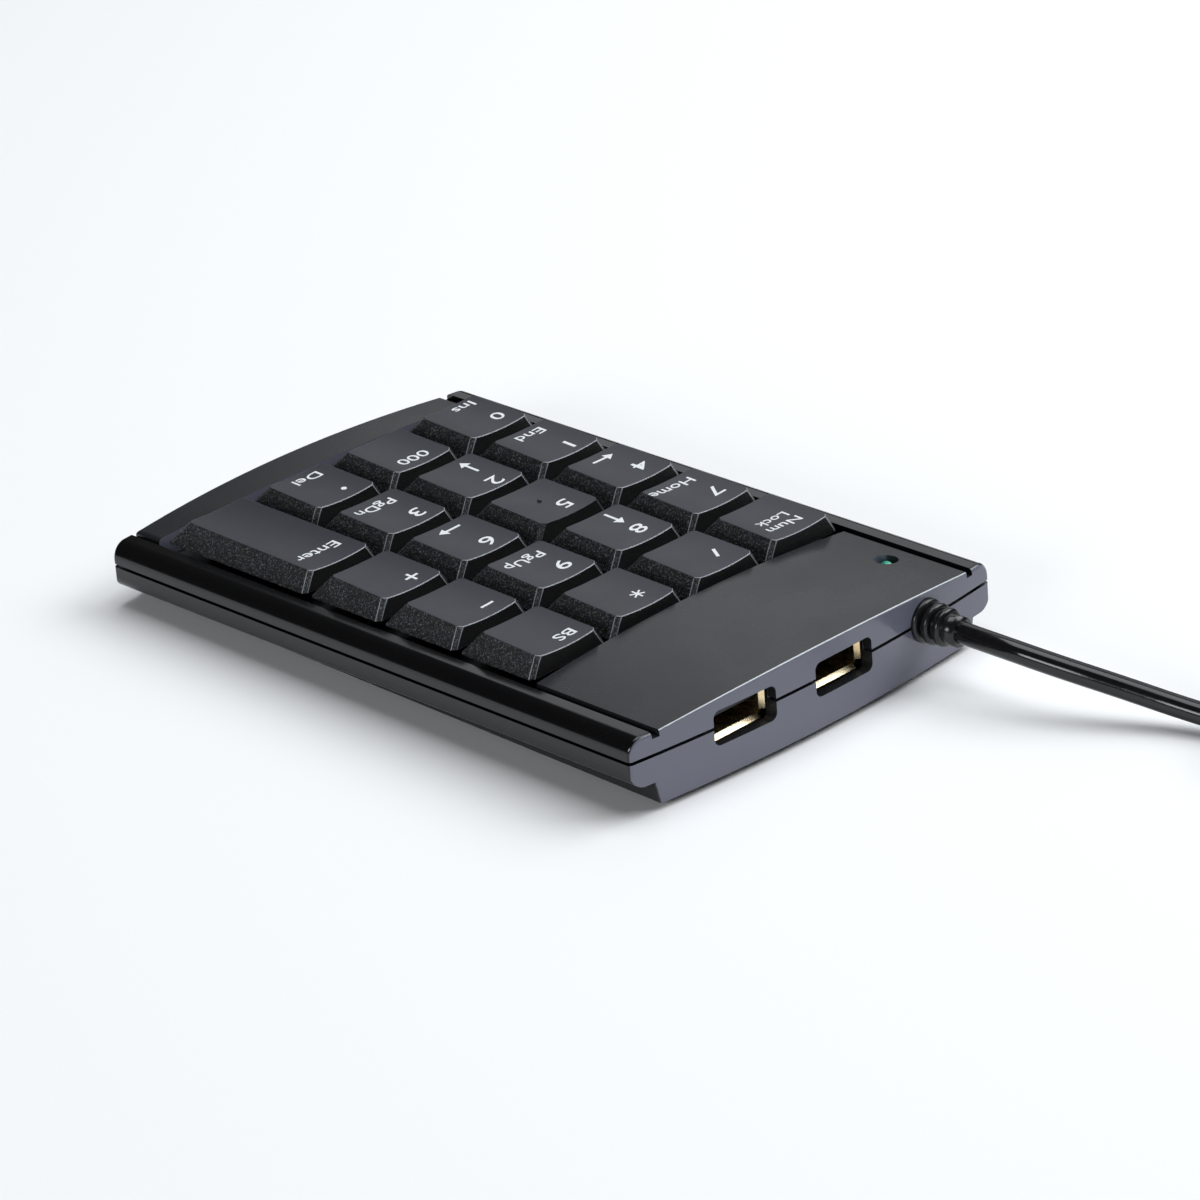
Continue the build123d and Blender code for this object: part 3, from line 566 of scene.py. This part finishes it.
def makePatterned(name, look):
    material, shader, tree = newMaterial(name)
    place = objectCoordinates(tree)
    bricks = tree.nodes.new("ShaderNodeTexBrick")
    tree.links.new(place, bricks.inputs["Vector"])
    bricks.inputs["Color1"].default_value = look["ground"]
    bricks.inputs["Color2"].default_value = look["ground"]
    bricks.inputs["Mortar"].default_value = look["line"]
    bricks.inputs["Scale"].default_value = 1.0
    bricks.inputs["Brick Width"].default_value = look["pitch"] * 2.5
    bricks.inputs["Row Height"].default_value = look["pitch"]
    bricks.inputs["Mortar Size"].default_value = look["pitch"] * 0.12
    worn = placeGroup(tree, groups["handling"], place, Patch_Size=0.01)
    soiled = mathNode(tree, "MULTIPLY", worn["Smudge"], 0.15)
    colour = mixColours(tree, soiled, bricks.outputs["Color"], (0.1, 0.1, 0.1, 1))
    tree.links.new(colour, shader.inputs["Base Color"])
    rough = rangeNode(tree, worn["Smudge"], 0.0, 1.0, look["rough"], look["rough"] + 0.1)
    tree.links.new(rough, shader.inputs["Roughness"])
    bumpInto(tree, shader, bricks.outputs["Fac"], 0.00002, 0.6)
    return material


wireColours = ((0.35, 0.01, 0.01, 1), (0.6, 0.6, 0.58, 1), (0.01, 0.2, 0.04, 1), (0.01, 0.01, 0.01, 1))


def makeWireMaterial():
    material, shader, tree = newMaterial("wireInsulation")
    place = objectCoordinates(tree)
    low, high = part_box("cable_leads")
    steps = tree.nodes.new("ShaderNodeValToRGB")
    steps.color_ramp.interpolation = "CONSTANT"
    while len(steps.color_ramp.elements) < len(wireColours):
        steps.color_ramp.elements.new(0.5)
    for index, colour in enumerate(wireColours):
        steps.color_ramp.elements[index].position = index / len(wireColours)
        steps.color_ramp.elements[index].color = colour
    tree.links.new(rangeNode(tree, splitVector(tree, place)[0], low.x, high.x), steps.inputs["Fac"])
    tree.links.new(steps.outputs["Color"], shader.inputs["Base Color"])
    shader.inputs["Roughness"].default_value = 0.3
    grain = placeGroup(tree, groups["grain"], place, Grain_Size=0.0005, Sharpness=0.4)
    bumpInto(tree, shader, grain["Height"], 0.00001)
    return material


def makeMaterials():
    groups["grain"] = makeGrainGroup()
    groups["handling"] = makeHandlingGroup()
    groups["brushed"] = makeBrushedGroup()
    for name, look in plasticLooks.items():
        materials[name] = makePlastic(name, look)
    for name, look in metalLooks.items():
        materials[name] = makeMetal(name, look)
    for name, look in patternLooks.items():
        materials[name] = makePatterned(name, look)
    materials["casingPlastic"] = makeCasing()
    materials["keyPlastic"] = makeKeyPlastic()
    materials["legendInk"] = makeInk()
    materials["lampResin"] = makeLampResin()
    materials["wireInsulation"] = makeWireMaterial()


def pieceFromMesh(name, mesh, body, material=None, replaced=()):
    mesh.name = name
    piece = bpy.data.objects.new(name, mesh)
    bpy.context.scene.collection.objects.link(piece)
    if material:
        mesh.materials.clear()
        mesh.materials.append(materials[material])
    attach(piece, body)
    if replaced:
        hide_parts(*replaced)
    return piece


def smoothBySharpness(shape, angle):
    for face in shape.faces:
        face.smooth = True
    for edge in shape.edges:
        edge.smooth = len(edge.link_faces) == 2 and edge.calc_face_angle(0) < math.radians(angle)


def copyOfNode(node, angle=28.0):
    source = frame["nodes"][node].data
    shape = bmesh.new()
    points = [shape.verts.new(vertex.co) for vertex in source.vertices]
    for polygon in source.polygons:
        corners = [points[index] for index in polygon.vertices]
        if len(set(corners)) > 2:
            shape.faces.new(corners)
    bmesh.ops.remove_doubles(shape, verts=shape.verts, dist=2e-6)
    bmesh.ops.dissolve_degenerate(shape, edges=shape.edges, dist=1e-6)
    flat = math.radians(0.3)
    bmesh.ops.dissolve_limit(shape, angle_limit=flat, verts=shape.verts, edges=shape.edges)
    smoothBySharpness(shape, angle)
    return shape


def meshFromShape(name, shape):
    mesh = bpy.data.meshes.new(name)
    shape.to_mesh(mesh)
    shape.free()
    return mesh


def weightNormals(piece):
    modifier = piece.modifiers.new("faceNormals", "WEIGHTED_NORMAL")
    modifier.keep_sharp = True
    modifier.weight = 80


# without an angle only the edges that carry a bevel weight are rounded
def bevelEdges(piece, width, segments, angle=None):
    bevel = piece.modifiers.new("edges", "BEVEL")
    bevel.width = width * mm
    bevel.segments = segments
    bevel.limit_method = "ANGLE" if angle else "WEIGHT"
    if angle:
        bevel.angle_limit = math.radians(angle)


def dressNode(node, name, slot, material, angle, edge=None):
    mesh = meshFromShape(name, copyOfNode(node, angle))
    piece = pieceFromMesh(name, mesh, "case", material, (node,))
    if edge:
        bevelEdges(piece, *edge)
    weightNormals(piece)
    return piece


class PieceTree:
    # sizes are in mm, and a whole number is a count
    def __init__(self, name, sizes):
        self.tree = bpy.data.node_groups.new(name, "GeometryNodeTree")
        self.ids = {}
        self.sizes = {}
        for socket, size in sizes.items():
            kind = "NodeSocketInt" if isinstance(size, int) else "NodeSocketFloat"
            made = self.tree.interface.new_socket(socket, in_out="INPUT", socket_type=kind)
            self.sizes[socket] = size if isinstance(size, int) else size * mm
            made.default_value = self.sizes[socket]
            self.ids[socket] = made.identifier
        made = self.tree.interface.new_socket("Material", in_out="INPUT", socket_type="NodeSocketMaterial")
        self.ids["Material"] = made.identifier
        self.tree.interface.new_socket("Geometry", in_out="OUTPUT", socket_type="NodeSocketGeometry")
        self.given = self.tree.nodes.new("NodeGroupInput").outputs
        self.result = self.tree.nodes.new("NodeGroupOutput").inputs[0]

    # an input is given by its name, or as in0, in1 where its place tells more
    def add(self, kind, operation=None, **inputs):
        node = self.tree.nodes.new(kind)
        if operation:
            node.operation = operation
        for name, value in inputs.items():
            socket = int(name[2:]) if name.startswith("in") else name.replace("_", " ")
            feed(self.tree, value, node.inputs[socket])
        return node.outputs

    def math(self, operation, first, second=0.0):
        return self.add("ShaderNodeMath", operation, in0=first, in1=second)[0]

    def vector(self, x=0.0, y=0.0, z=0.0):
        return self.add("ShaderNodeCombineXYZ", X=x, Y=y, Z=z)[0]

    def join(self, *shapes):
        node = self.tree.nodes.new("GeometryNodeJoinGeometry")
        for shape in shapes:
            self.tree.links.new(shape, node.inputs[0])
        return node.outputs[0]

    def finish(self, shape, smooth=True):
        real = self.add("GeometryNodeRealizeInstances", in0=shape)[0]
        if smooth:
            real = self.add("GeometryNodeSetShadeSmooth", in0=real)[0]
        painted = self.add("GeometryNodeSetMaterial", in0=real, Material=self.given["Material"])[0]
        self.tree.links.new(painted, self.result)

    def grow(self, name, material):
        holder = bpy.data.objects.new(name + "Holder", bpy.data.meshes.new(name + "Holder"))
        bpy.context.scene.collection.objects.link(holder)
        modifier = holder.modifiers.new("grow", "NODES")
        modifier.node_group = self.tree
        modifier[self.ids["Material"]] = materials[material]
        for socket, size in self.sizes.items():
            modifier[self.ids[socket]] = size
        bpy.context.view_layer.update()
        graph = bpy.context.evaluated_depsgraph_get()
        mesh = bpy.data.meshes.new_from_object(holder.evaluated_get(graph))
        holder.modifiers.remove(modifier)
        bpy.data.objects.remove(holder)
        return mesh


cordLook = {
    "diameter": 4.0,
    "length": 0.72,
    "coilCentre": (-60.0, 146.0),
    "coilStart": -11.7,
    "coilSweep": 1571.7,
    "pointsPerTurn": 16,
    "jogWidth": 40.0,  # degrees over which the cord moves from one turn to the next
    "straight": 9.0,  # mm out of the strain relief before it bends
}
# where each turn of the coil lies, as radius and height, and the sweep at which the cord moves to it
coilTurns = ((24.2, 2.6, 0.0), (20.0, 2.6, 300.0), (20.0, 6.7, 640.0), (24.2, 6.7, 985.0), (22.1, 9.9, 1330.0))


def coilPoints():
    cx, cy = cordLook["coilCentre"]
    step = 360.0 / cordLook["pointsPerTurn"]
    spread = 1 / math.cos(math.radians(step / 2))
    count = round(cordLook["coilSweep"] / step)
    points = []
    for index in range(1, count):
        swept = cordLook["coilSweep"] * index / count
        radius, height = coilTurns[0][:2]
        for nextRadius, nextHeight, jog in coilTurns[1:]:
            share = min(max((swept - jog) / cordLook["jogWidth"] + 0.5, 0), 1)
            share = share * share * (3 - 2 * share)
            radius += (nextRadius - radius) * share
            height += (nextHeight - height) * share
        angle = math.radians(cordLook["coilStart"] + swept)
        points.append((cx + radius * spread * math.cos(angle), cy + radius * spread * math.sin(angle), height))
    return points


def cordPoints():
    cx, cy = cordLook["coilCentre"]
    face = reliefLook["face"] + reliefLook["reach"]
    lead = [
        tuple(plateToTable @ Vector((reliefLook["x"] * mm, y * mm, 0)) / mm)
        for y in (face, face + cordLook["straight"])
    ]
    lead += [
        (-28.0, 94.5, 9.25),
        (-33.0, 104.8, 6.4),
        (-37.9, 115.2, 3.4),
        (-40.4, 127.5, 2.6),
        (cx + 23.7, cy - 4.9, 2.6),
    ]
    tail = [
        (cx - 11.0, cy + 19.0, 9.9),
        (cx - 23.2, cy + 12.0, 8.6),
        (cx - 32.4, cy - 1.0, 5.4),
        (cx - 34.4, cy - 15.0, 3.9),
    ]
    return lead + coilPoints() + tail


def makeCord():
    points = [Vector(point) * mm for point in cordPoints()]
    curve = bpy.data.curves.new("cord", "CURVE")
    curve.dimensions = "3D"
    spline = curve.splines.new("NURBS")
    spline.points.add(len(points) - 1)
    for made, point in zip(spline.points, points):
        made.co = (*point, 1)
    spline.order_u = 3
    spline.use_endpoint_u = True
    spline.resolution_u = 8
    curve.bevel_depth = cordLook["diameter"] / 2 * mm
    curve.bevel_resolution = 6
    curve.use_fill_caps = True
    curve.materials.append(materials["cordPlastic"])
    cord = bpy.data.objects.new("cord", curve)
    bpy.context.scene.collection.objects.link(cord)
    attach(cord, "case")
    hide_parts("cord_tube", "cord_coil", "cord_tail")
    return cord, points[0]


reliefLook = {"x": -25.5, "face": 67.651, "reach": 8.2, "seat": 0.43}
reliefSizes = {
    "Ribs": 3,
    "Rib Radius": 3.95,
    "Rib Half": 0.85,
    "Pitch": 2.25,
    "Core Radius": 2.7,
    "Core Length": 8.62,
    "Taper": 0.25,
}


def makeStrainRelief():
    tree = PieceTree("reliefTree", reliefSizes)
    given = tree.given
    start = tree.vector(z=given["Rib Half"])
    step = tree.vector(z=given["Pitch"])
    line = tree.add("GeometryNodeMeshLine", Count=given["Ribs"], Start_Location=start, Offset=step)[0]
    # a rib is a short drum whose rim is rounded: its radius shrinks near both faces
    drum = tree.add(
        "GeometryNodeMeshCylinder", Vertices=64, Side_Segments=10, Fill_Segments=4,
        Radius=given["Rib Radius"], Depth=tree.math("MULTIPLY", given["Rib Half"], 2.0),
    )[0]
    place = tree.add("GeometryNodeInputPosition")[0]
    parts = tree.add("ShaderNodeSeparateXYZ", in0=place)
    level = tree.math("DIVIDE", parts[2], given["Rib Half"])
    drop = tree.math("MULTIPLY", tree.math("POWER", level, 4.0), 0.55)
    bulge = tree.math("SQRT", tree.math("SUBTRACT", 1.0, drop))
    shrunkX = tree.math("MULTIPLY", parts[0], bulge)
    shrunkY = tree.math("MULTIPLY", parts[1], bulge)
    shrunk = tree.vector(shrunkX, shrunkY, parts[2])
    rib = tree.add("GeometryNodeSetPosition", Geometry=drum, Position=shrunk)[0]
    index = tree.add("GeometryNodeInputIndex")[0]
    loss = tree.math("DIVIDE", given["Taper"], given["Rib Radius"])
    smaller = tree.math("SUBTRACT", 1.0, tree.math("MULTIPLY", index, loss))
    scale = tree.vector(smaller, smaller, 1.0)
    ribs = tree.add("GeometryNodeInstanceOnPoints", Points=line, Instance=rib, Scale=scale)[0]
    core = tree.add(
        "GeometryNodeMeshCylinder", Vertices=64, Side_Segments=4, Fill_Segments=2,
        Radius=given["Core Radius"], Depth=given["Core Length"],
    )[0]
    halfCore = tree.math("MULTIPLY", given["Core Length"], 0.5)
    core = tree.add("GeometryNodeTransform", Geometry=core, Translation=tree.vector(z=halfCore))[0]
    tree.finish(tree.join(ribs, core))
    mesh = tree.grow("strainRelief", "reliefPlastic")
    # the ribs start in their seat just inside the back face, and run out along the plate's Y
    seatY = reliefLook["face"] - reliefLook["seat"]
    seat = Matrix.Translation((reliefLook["x"] * mm, seatY * mm, 0))
    mesh.transform(plateToTable @ seat @ Matrix.Rotation(math.radians(-90), 4, "X"))
    return pieceFromMesh("strainRelief", mesh, "case", replaced=("strain_relief",))


# an edge is its width in mm, its segments and the angle from which it counts
plugLook = {"gripEdge": (0.7, 4, 50), "shellEdge": (0.14, 2, 30), "ridgesFrom": 4.5}
ridgeSizes = {"Rows": 6, "Pitch": 1.6, "Ridge Width": 0.8, "Ridge Length": 9.0, "Ridge Height": 0.5}
ridgeLift = {"Top": -0.1, "Under": 0.25}


def makePlug():
    low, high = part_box("plug_grip")
    edge = plugLook["gripEdge"]
    pieces = [dressNode("plug_grip", "plugGrip", "cord_pvc", "reliefPlastic", 35, edge)]
    tree = PieceTree("gripRidgeTree", ridgeSizes)
    given = tree.given
    line = tree.add("GeometryNodeMeshLine", Count=given["Rows"], Offset=tree.vector(y=given["Pitch"]))[0]
    size = tree.vector(given["Ridge Length"], given["Ridge Width"], given["Ridge Height"])
    bar = tree.add("GeometryNodeMeshCube", Size=size, Vertices_X=5, Vertices_Y=3, Vertices_Z=3)[0]
    bar = tree.add("GeometryNodeSubdivisionSurface", Mesh=bar, Level=1)[0]
    tree.finish(tree.add("GeometryNodeInstanceOnPoints", Points=line, Instance=bar)[0])
    middleX = (low.x + high.x) / 2
    for side, height in (("Top", high.z), ("Under", low.z)):
        name = "gripRidges" + side
        mesh = tree.grow(name, "reliefPlastic")
        spot = (middleX, low.y + plugLook["ridgesFrom"] * mm, height + ridgeLift[side] * mm)
        mesh.transform(Matrix.Translation(spot))
        pieces.append(pieceFromMesh(name, mesh, "case"))
    edge = plugLook["shellEdge"]
    pieces.append(dressNode("plug_shell", "plugShell", "plug_metal", "plugMetal", 35, edge))
    return pieces


keySizes = {
    "base": 18.0,
    "topX": 13.24,
    "topY": 14.07,
    "shift": 1.75,
    "skirtZ": 4.0,
    "backZ": 7.75,
    "rise": 0.5,
    "dish": 0.45,
    "edge": 0.14,
    "nubBehind": 1.0,
    "nubClear": (0.8, 1.1),
}
# each key's legends: text, place from the middle of the key's top in mm, height in mm, and whether the
# place is that of the text's middle or of its left edge
legends = {
    "key_num_lock": (("Num", 0.4, 3.3, 2.1, "middle"), ("Lock", 0.4, 0.4, 2.1, "middle")),
    "key_divide": (("/", -2.9, 1.9, 2.9, "middle"),),
    "key_multiply": (("*", -2.0, 2.6, 2.7, "middle"),),
    "key_backspace": (("BS", -2.2, 4.0, 2.4, "middle"),),
    "key_7": (("7", -2.7, 2.3, 3.35, "middle"), ("Home", -3.7, -4.3, 2.4, "left")),
    "key_8": (("8", -2.3, 2.6, 3.35, "middle"), ("up", -2.4, -3.5, 5.0, "middle")),
    "key_9": (("9", -2.7, 2.6, 3.35, "middle"), ("PgUp", -3.7, -3.9, 2.4, "left")),
    "key_minus": (("-", -2.6, 3.7, 2.8, "middle"),),
    "key_4": (("4", -2.9, 2.5, 3.35, "middle"), ("left", -0.6, -4.8, 5.0, "middle")),
    "key_5": (("5", -2.1, 3.2, 3.35, "middle"),),
    "key_6": (("6", -1.9, 3.6, 3.35, "middle"), ("right", -0.6, -4.8, 5.0, "middle")),
    "key_plus": (("+", -2.6, 3.7, 2.8, "middle"),),
    "key_1": (("1", -2.2, 3.9, 3.35, "middle"), ("End", -3.7, -4.6, 2.4, "left")),
    "key_2": (("2", -1.9, 4.5, 3.35, "middle"), ("down", -2.7, -3.1, 5.0, "middle")),
    "key_3": (("3", -2.8, 3.4, 3.35, "middle"), ("PgDn", -3.7, -4.2, 2.4, "left")),
    "key_enter": (("Enter", 0.2, 10.9, 2.55, "middle"),),
    "key_0": (("0", -3.3, 2.75, 2.9, "middle"), ("Ins", -4.5, -5.1, 2.4, "left")),
    "key_000": (("000", 0.0, 3.9, 2.5, "middle"),),
    "key_decimal": ((".", -2.2, 3.7, 1.1, "middle"), ("Del", -3.7, -4.5, 2.4, "left")),
}
legendLook = {
    "capital": 0.74,  # height of a capital letter in a text of size 1
    "widen": 1.4,
    "widenLong": 1.28,
    "bolder": 0.004,
    "proud": 0.022,
    "sunk": 0.04,
    "slice": 0.5,  # widest stretch, in mm, that stays straight over the dished top
}
# signs drawn as straight arms from a middle: number of arms, turn in degrees and half the stroke in mm
signLook = {"+": (4, 0, 0.25), "-": (2, 0, 0.25), "*": (6, 30, 0.17), "/": (2, 62, 0.3)}
arrowLook = {"shaftHalf": 0.26, "headHalf": 1.15, "headLength": 1.7}
arrowTurns = {"up": 0, "left": 90, "down": 180, "right": 270}


def keyMiddle(key):
    low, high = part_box(key)
    middle = (low + high) / 2
    wedge = math.radians(standing["wedge"])
    y = (middle.y / mm - standing["shiftY"] + keySizes["skirtZ"] * math.sin(wedge)) / math.cos(wedge)
    return middle.x / mm, y, (high.y - low.y) / mm - keySizes["base"]


def dishHeight(x, y, extra):
    length = keySizes["topY"] + extra
    line = keySizes["backZ"] + keySizes["rise"] * (length / 2 - y) / length
    half = keySizes["topX"] / 2
    radius = (half**2 + keySizes["dish"] ** 2) / (2 * keySizes["dish"])
    return line - keySizes["dish"] + radius - math.sqrt(radius**2 - x**2)


def makeKeycap(key):
    shape = copyOfNode(key, 30)
    lowest = keySizes["skirtZ"] - 0.05  # edges under this are inside the case and stay sharp
    layer = shape.edges.layers.float.new("bevel_weight_edge")
    for edge in shape.edges:
        ends = [tableToPlate @ vertex.co / mm for vertex in edge.verts]
        if min(end.z for end in ends) > lowest and len(edge.link_faces) == 2:
            if edge.calc_face_angle(0) > math.radians(24):
                edge[layer] = 1.0
    piece = pieceFromMesh(key + "Cap", meshFromShape(key, shape), key, "keyPlastic", (key,))
    bevelEdges(piece, keySizes["edge"], 2)
    weightNormals(piece)


def textShape(text, height):
    curve = bpy.data.curves.new("legend", "FONT")
    curve.body = text
    curve.size = 1.0
    curve.offset = legendLook["bolder"]
    curve.extrude = 0.5
    curve.resolution_u = 4
    holder = bpy.data.objects.new("legend", curve)
    bpy.context.scene.collection.objects.link(holder)
    bpy.context.view_layer.update()
    mesh = bpy.data.meshes.new_from_object(holder.evaluated_get(bpy.context.evaluated_depsgraph_get()))
    bpy.data.objects.remove(holder)
    shape = bmesh.new()
    shape.from_mesh(mesh)
    scale = height / legendLook["capital"]
    widen = legendLook["widen"] if len(text) < 4 else legendLook["widenLong"]
    for vertex in shape.verts:
        vertex.co.x *= scale * widen
        vertex.co.y *= scale
    return shape


def prismShape(outline):
    shape = bmesh.new()
    bottom = [shape.verts.new((x, y, -0.5)) for x, y in outline]
    top = [shape.verts.new((x, y, 0.5)) for x, y in outline]
    shape.faces.new(top)
    shape.faces.new(bottom[::-1])
    for index in range(len(outline)):
        after = (index + 1) % len(outline)
        shape.faces.new((bottom[index], bottom[after], top[after], top[index]))
    return shape


def arrowShape(direction, length):
    half = length / 2
    shaft, head = arrowLook["shaftHalf"], arrowLook["headHalf"]
    neck = half - arrowLook["headLength"]
    shape = prismShape(
        [(-shaft, -half), (shaft, -half), (shaft, neck), (head, neck), (0, half), (-head, neck), (-shaft, neck)]
    )
    turn = Matrix.Rotation(math.radians(arrowTurns[direction]), 3, "Z")
    bmesh.ops.rotate(shape, verts=shape.verts, matrix=turn)
    return shape


def signShape(sign, length):
    arms, turn, stroke = signLook[sign]
    half = length / 2
    notch = stroke / math.sin(math.pi / arms)
    outline = []
    for arm in range(arms):
        angle = math.radians(turn) + 2 * math.pi * arm / arms
        along = Vector((math.cos(angle), math.sin(angle)))
        across = Vector((-along.y, along.x))
        between = angle + math.pi / arms
        outline.append(tuple(along * half - across * stroke))
        outline.append(tuple(along * half + across * stroke))
        outline.append((notch * math.cos(between), notch * math.sin(between)))
    return prismShape(outline)


def dotShape(size):
    angles = [2 * math.pi * index / 24 for index in range(24)]
    return prismShape([(size / 2 * math.cos(angle), size / 2 * math.sin(angle)) for angle in angles])


def legendShape(text, height):
    if text in arrowTurns:
        return arrowShape(text, height)
    if text in signLook:
        return signShape(text, height)
    if text == ".":
        return dotShape(height)
    return textShape(text, height)


def makeLegend(key):
    keyX, keyY, extra = keyMiddle(key)
    joined = bmesh.new()
    for text, dx, dy, height, anchor in legends[key]:
        shape = legendShape(text, height)
        bmesh.ops.remove_doubles(shape, verts=shape.verts, dist=1e-4)
        xs = [vertex.co.x for vertex in shape.verts]
        ys = [vertex.co.y for vertex in shape.verts]
        held = min(xs) if anchor == "left" else (min(xs) + max(xs)) / 2
        offset = Vector((dx - held, dy - (min(ys) + max(ys)) / 2, 0))
        bmesh.ops.translate(shape, verts=shape.verts, vec=offset)
        cut = min(xs) + offset.x + legendLook["slice"]
        while cut < max(xs) + offset.x:
            everything = shape.verts[:] + shape.edges[:] + shape.faces[:]
            bmesh.ops.bisect_plane(shape, geom=everything, plane_co=(cut, 0, 0), plane_no=(1, 0, 0), dist=1e-5)
            cut += legendLook["slice"]
        for vertex in shape.verts:
            x, y, side = vertex.co
            level = dishHeight(x, y, extra) + (legendLook["proud"] if side > 0 else -legendLook["sunk"])
            vertex.co = plateToTable @ (Vector((keyX + x, keyY + keySizes["shift"] + y, level)) * mm)
        made = bpy.data.meshes.new("legendPart")
        shape.to_mesh(made)
        shape.free()
        joined.from_mesh(made)
        bpy.data.meshes.remove(made)
    bmesh.ops.recalc_face_normals(joined, faces=joined.faces)
    name = key + "Legend"
    pieceFromMesh(name, meshFromShape(name, joined), key, "legendInk")


def makeKeys():
    for key in keyBodies:
        makeKeycap(key)
        makeLegend(key)


# outside pieces that keep the shape of their node: name, slot, material and the angle of a sharp edge
outsideNodes = {
    "top_shell": ("topCasing", "shell_plastic", "casingPlastic", 28),
    "bottom_shell": ("bottomCasing", "shell_plastic", "casingPlastic", 28),
    "port_shell_left": ("portShellLeft", "port_metal", "portMetal", 30),
    "port_shell_right": ("portShellRight", "port_metal", "portMetal", 30),
    "status_led": ("statusLamp", "led_green", "lampResin", 35),
}


def makeCase():
    for node, look in outsideNodes.items():
        dressNode(node, *look)


feetSizes = {"Spread X": 54.0, "Spread Y": 104.0, "Radius": 4.5, "Height": 1.6, "Edge": 0.45}


def fourSpots(tree):
    spread = {"Size_X": tree.given["Spread X"], "Size_Y": tree.given["Spread Y"]}
    return tree.add("GeometryNodeMeshGrid", **spread, Vertices_X=2, Vertices_Y=2)[0]


def makeFeet():
    tree = PieceTree("footTree", feetSizes)
    given = tree.given
    puck = tree.add(
        "GeometryNodeMeshCylinder", Vertices=56, Side_Segments=16, Fill_Segments=6,
        Radius=given["Radius"], Depth=given["Height"],
    )[0]
    # the rim over the table is a quarter round of the size Edge
    halfHeight = tree.math("MULTIPLY", given["Height"], 0.5)
    place = tree.add("GeometryNodeInputPosition")[0]
    parts = tree.add("ShaderNodeSeparateXYZ", in0=place)
    above = tree.math("ADD", parts[2], halfHeight)
    into = tree.math("MAXIMUM", tree.math("SUBTRACT", given["Edge"], above), 0.0)
    squared = tree.math("SUBTRACT", tree.math("POWER", given["Edge"], 2.0), tree.math("POWER", into, 2.0))
    curved = tree.math("SUBTRACT", given["Edge"], tree.math("SQRT", tree.math("MAXIMUM", squared, 0.0)))
    share = tree.math("SUBTRACT", 1.0, tree.math("DIVIDE", curved, given["Radius"]))
    rounded = tree.vector(tree.math("MULTIPLY", parts[0], share), tree.math("MULTIPLY", parts[1], share), above)
    foot = tree.add("GeometryNodeSetPosition", Geometry=puck, Position=rounded)[0]
    tree.finish(tree.add("GeometryNodeInstanceOnPoints", Points=fourSpots(tree), Instance=foot)[0])
    mesh = tree.grow("rubberFeet", "footRubber")
    pieceFromMesh("rubberFeet", mesh, "case", replaced=("rubber_feet",))


screwLook = {"middleY": -10.1, "seat": -5.4}
screwSizes = {
    "Spread X": 64.0,
    "Spread Y": 105.0,
    "Head Radius": 2.2,
    "Head Height": 1.4,
    "Slot Width": 0.6,
    "Slot Length": 2.4,
    "Shank Radius": 1.1,
    "Shank Length": 7.6,
}


def makeCaseScrews():
    tree = PieceTree("screwTree", screwSizes)
    given = tree.given
    head = tree.add(
        "GeometryNodeMeshCylinder", Vertices=40, Side_Segments=1, Fill_Segments=1,
        Radius=given["Head Radius"], Depth=given["Head Height"],
    )[0]
    down = tree.vector(z=tree.math("MULTIPLY", given["Head Height"], -0.6))
    cross = tree.tree.nodes.new("GeometryNodeMeshBoolean")
    cross.operation = "DIFFERENCE"
    tree.tree.links.new(head, cross.inputs[0])
    for long, wide in (("Slot Length", "Slot Width"), ("Slot Width", "Slot Length")):
        size = tree.vector(given[long], given[wide], given["Head Height"])
        slot = tree.add("GeometryNodeMeshCube", Size=size)[0]
        slot = tree.add("GeometryNodeTransform", Geometry=slot, Translation=down)[0]
        tree.tree.links.new(slot, cross.inputs[1])
    size = {"Radius": given["Shank Radius"], "Depth": given["Shank Length"]}
    shank = tree.add("GeometryNodeMeshCylinder", **size, Vertices=24)[0]
    rise = tree.math("MULTIPLY", tree.math("ADD", given["Head Height"], given["Shank Length"]), 0.5)
    shank = tree.add("GeometryNodeTransform", Geometry=shank, Translation=tree.vector(z=rise))[0]
    screw = tree.join(cross.outputs[0], shank)
    screws = tree.add("GeometryNodeInstanceOnPoints", Points=fourSpots(tree), Instance=screw)[0]
    tree.finish(screws, smooth=False)
    mesh = tree.grow("caseScrews", "screwMetal")
    middleZ = screwLook["seat"] - screwSizes["Head Height"] / 2
    mesh.transform(plateToTable @ Matrix.Translation((0, screwLook["middleY"] * mm, middleZ * mm)))
    pieceFromMesh("caseScrews", mesh, "case", replaced=("case_screws",))


# nodes that keep their own mesh, by the material that they get
nodeMaterials = {
    "guidePlastic": ("key_frame",),
    "domeSilicone": ("dome_sheet",),
    "printedFilm": ("membrane_upper", "membrane_spacer", "membrane_lower", "membrane_tail"),
    "plateMetal": ("backing_plate",),
    "nylonHousing": ("tail_connector", "cable_header"),
    "boardLaminate": ("hub_board",),
    "chipMoulding": ("key_controller", "hub_controller"),
    "canMetal": ("crystal",),
    "canSleeve": ("capacitors",),
    "ceramicBody": ("chip_passives",),
    "insulator": ("port_tongue_left", "port_tongue_right", "plug_tongue"),
    "contactMetal": ("port_contacts_left", "port_contacts_right", "plug_contacts"),
    "screwMetal": ("board_screws",),
    "wireInsulation": ("cable_leads",),
}


def paintNodes():
    for name, nodes in nodeMaterials.items():
        for node in nodes:
            mesh = frame["nodes"][node].data
            mesh.materials.clear()
            mesh.materials.append(materials[name])


makeCamera()
makeMaterials()
print("materials", len(materials))
cord, cordExit = makeCord()
relief = makeStrainRelief()
plugPieces = makePlug()
tie = dressNode("cord_tie", "cordTie", "tie_fabric", "tieWeave", 40)
print("cord and plug")
makeCase()
print("case and ports")
makeKeys()
print("keys", len(keyBodies))
makeFeet()
makeCaseScrews()
paintNodes()
print("feet, screws and inside pieces")
makeLights()
makeRoom()
makeFloor()

print("done")
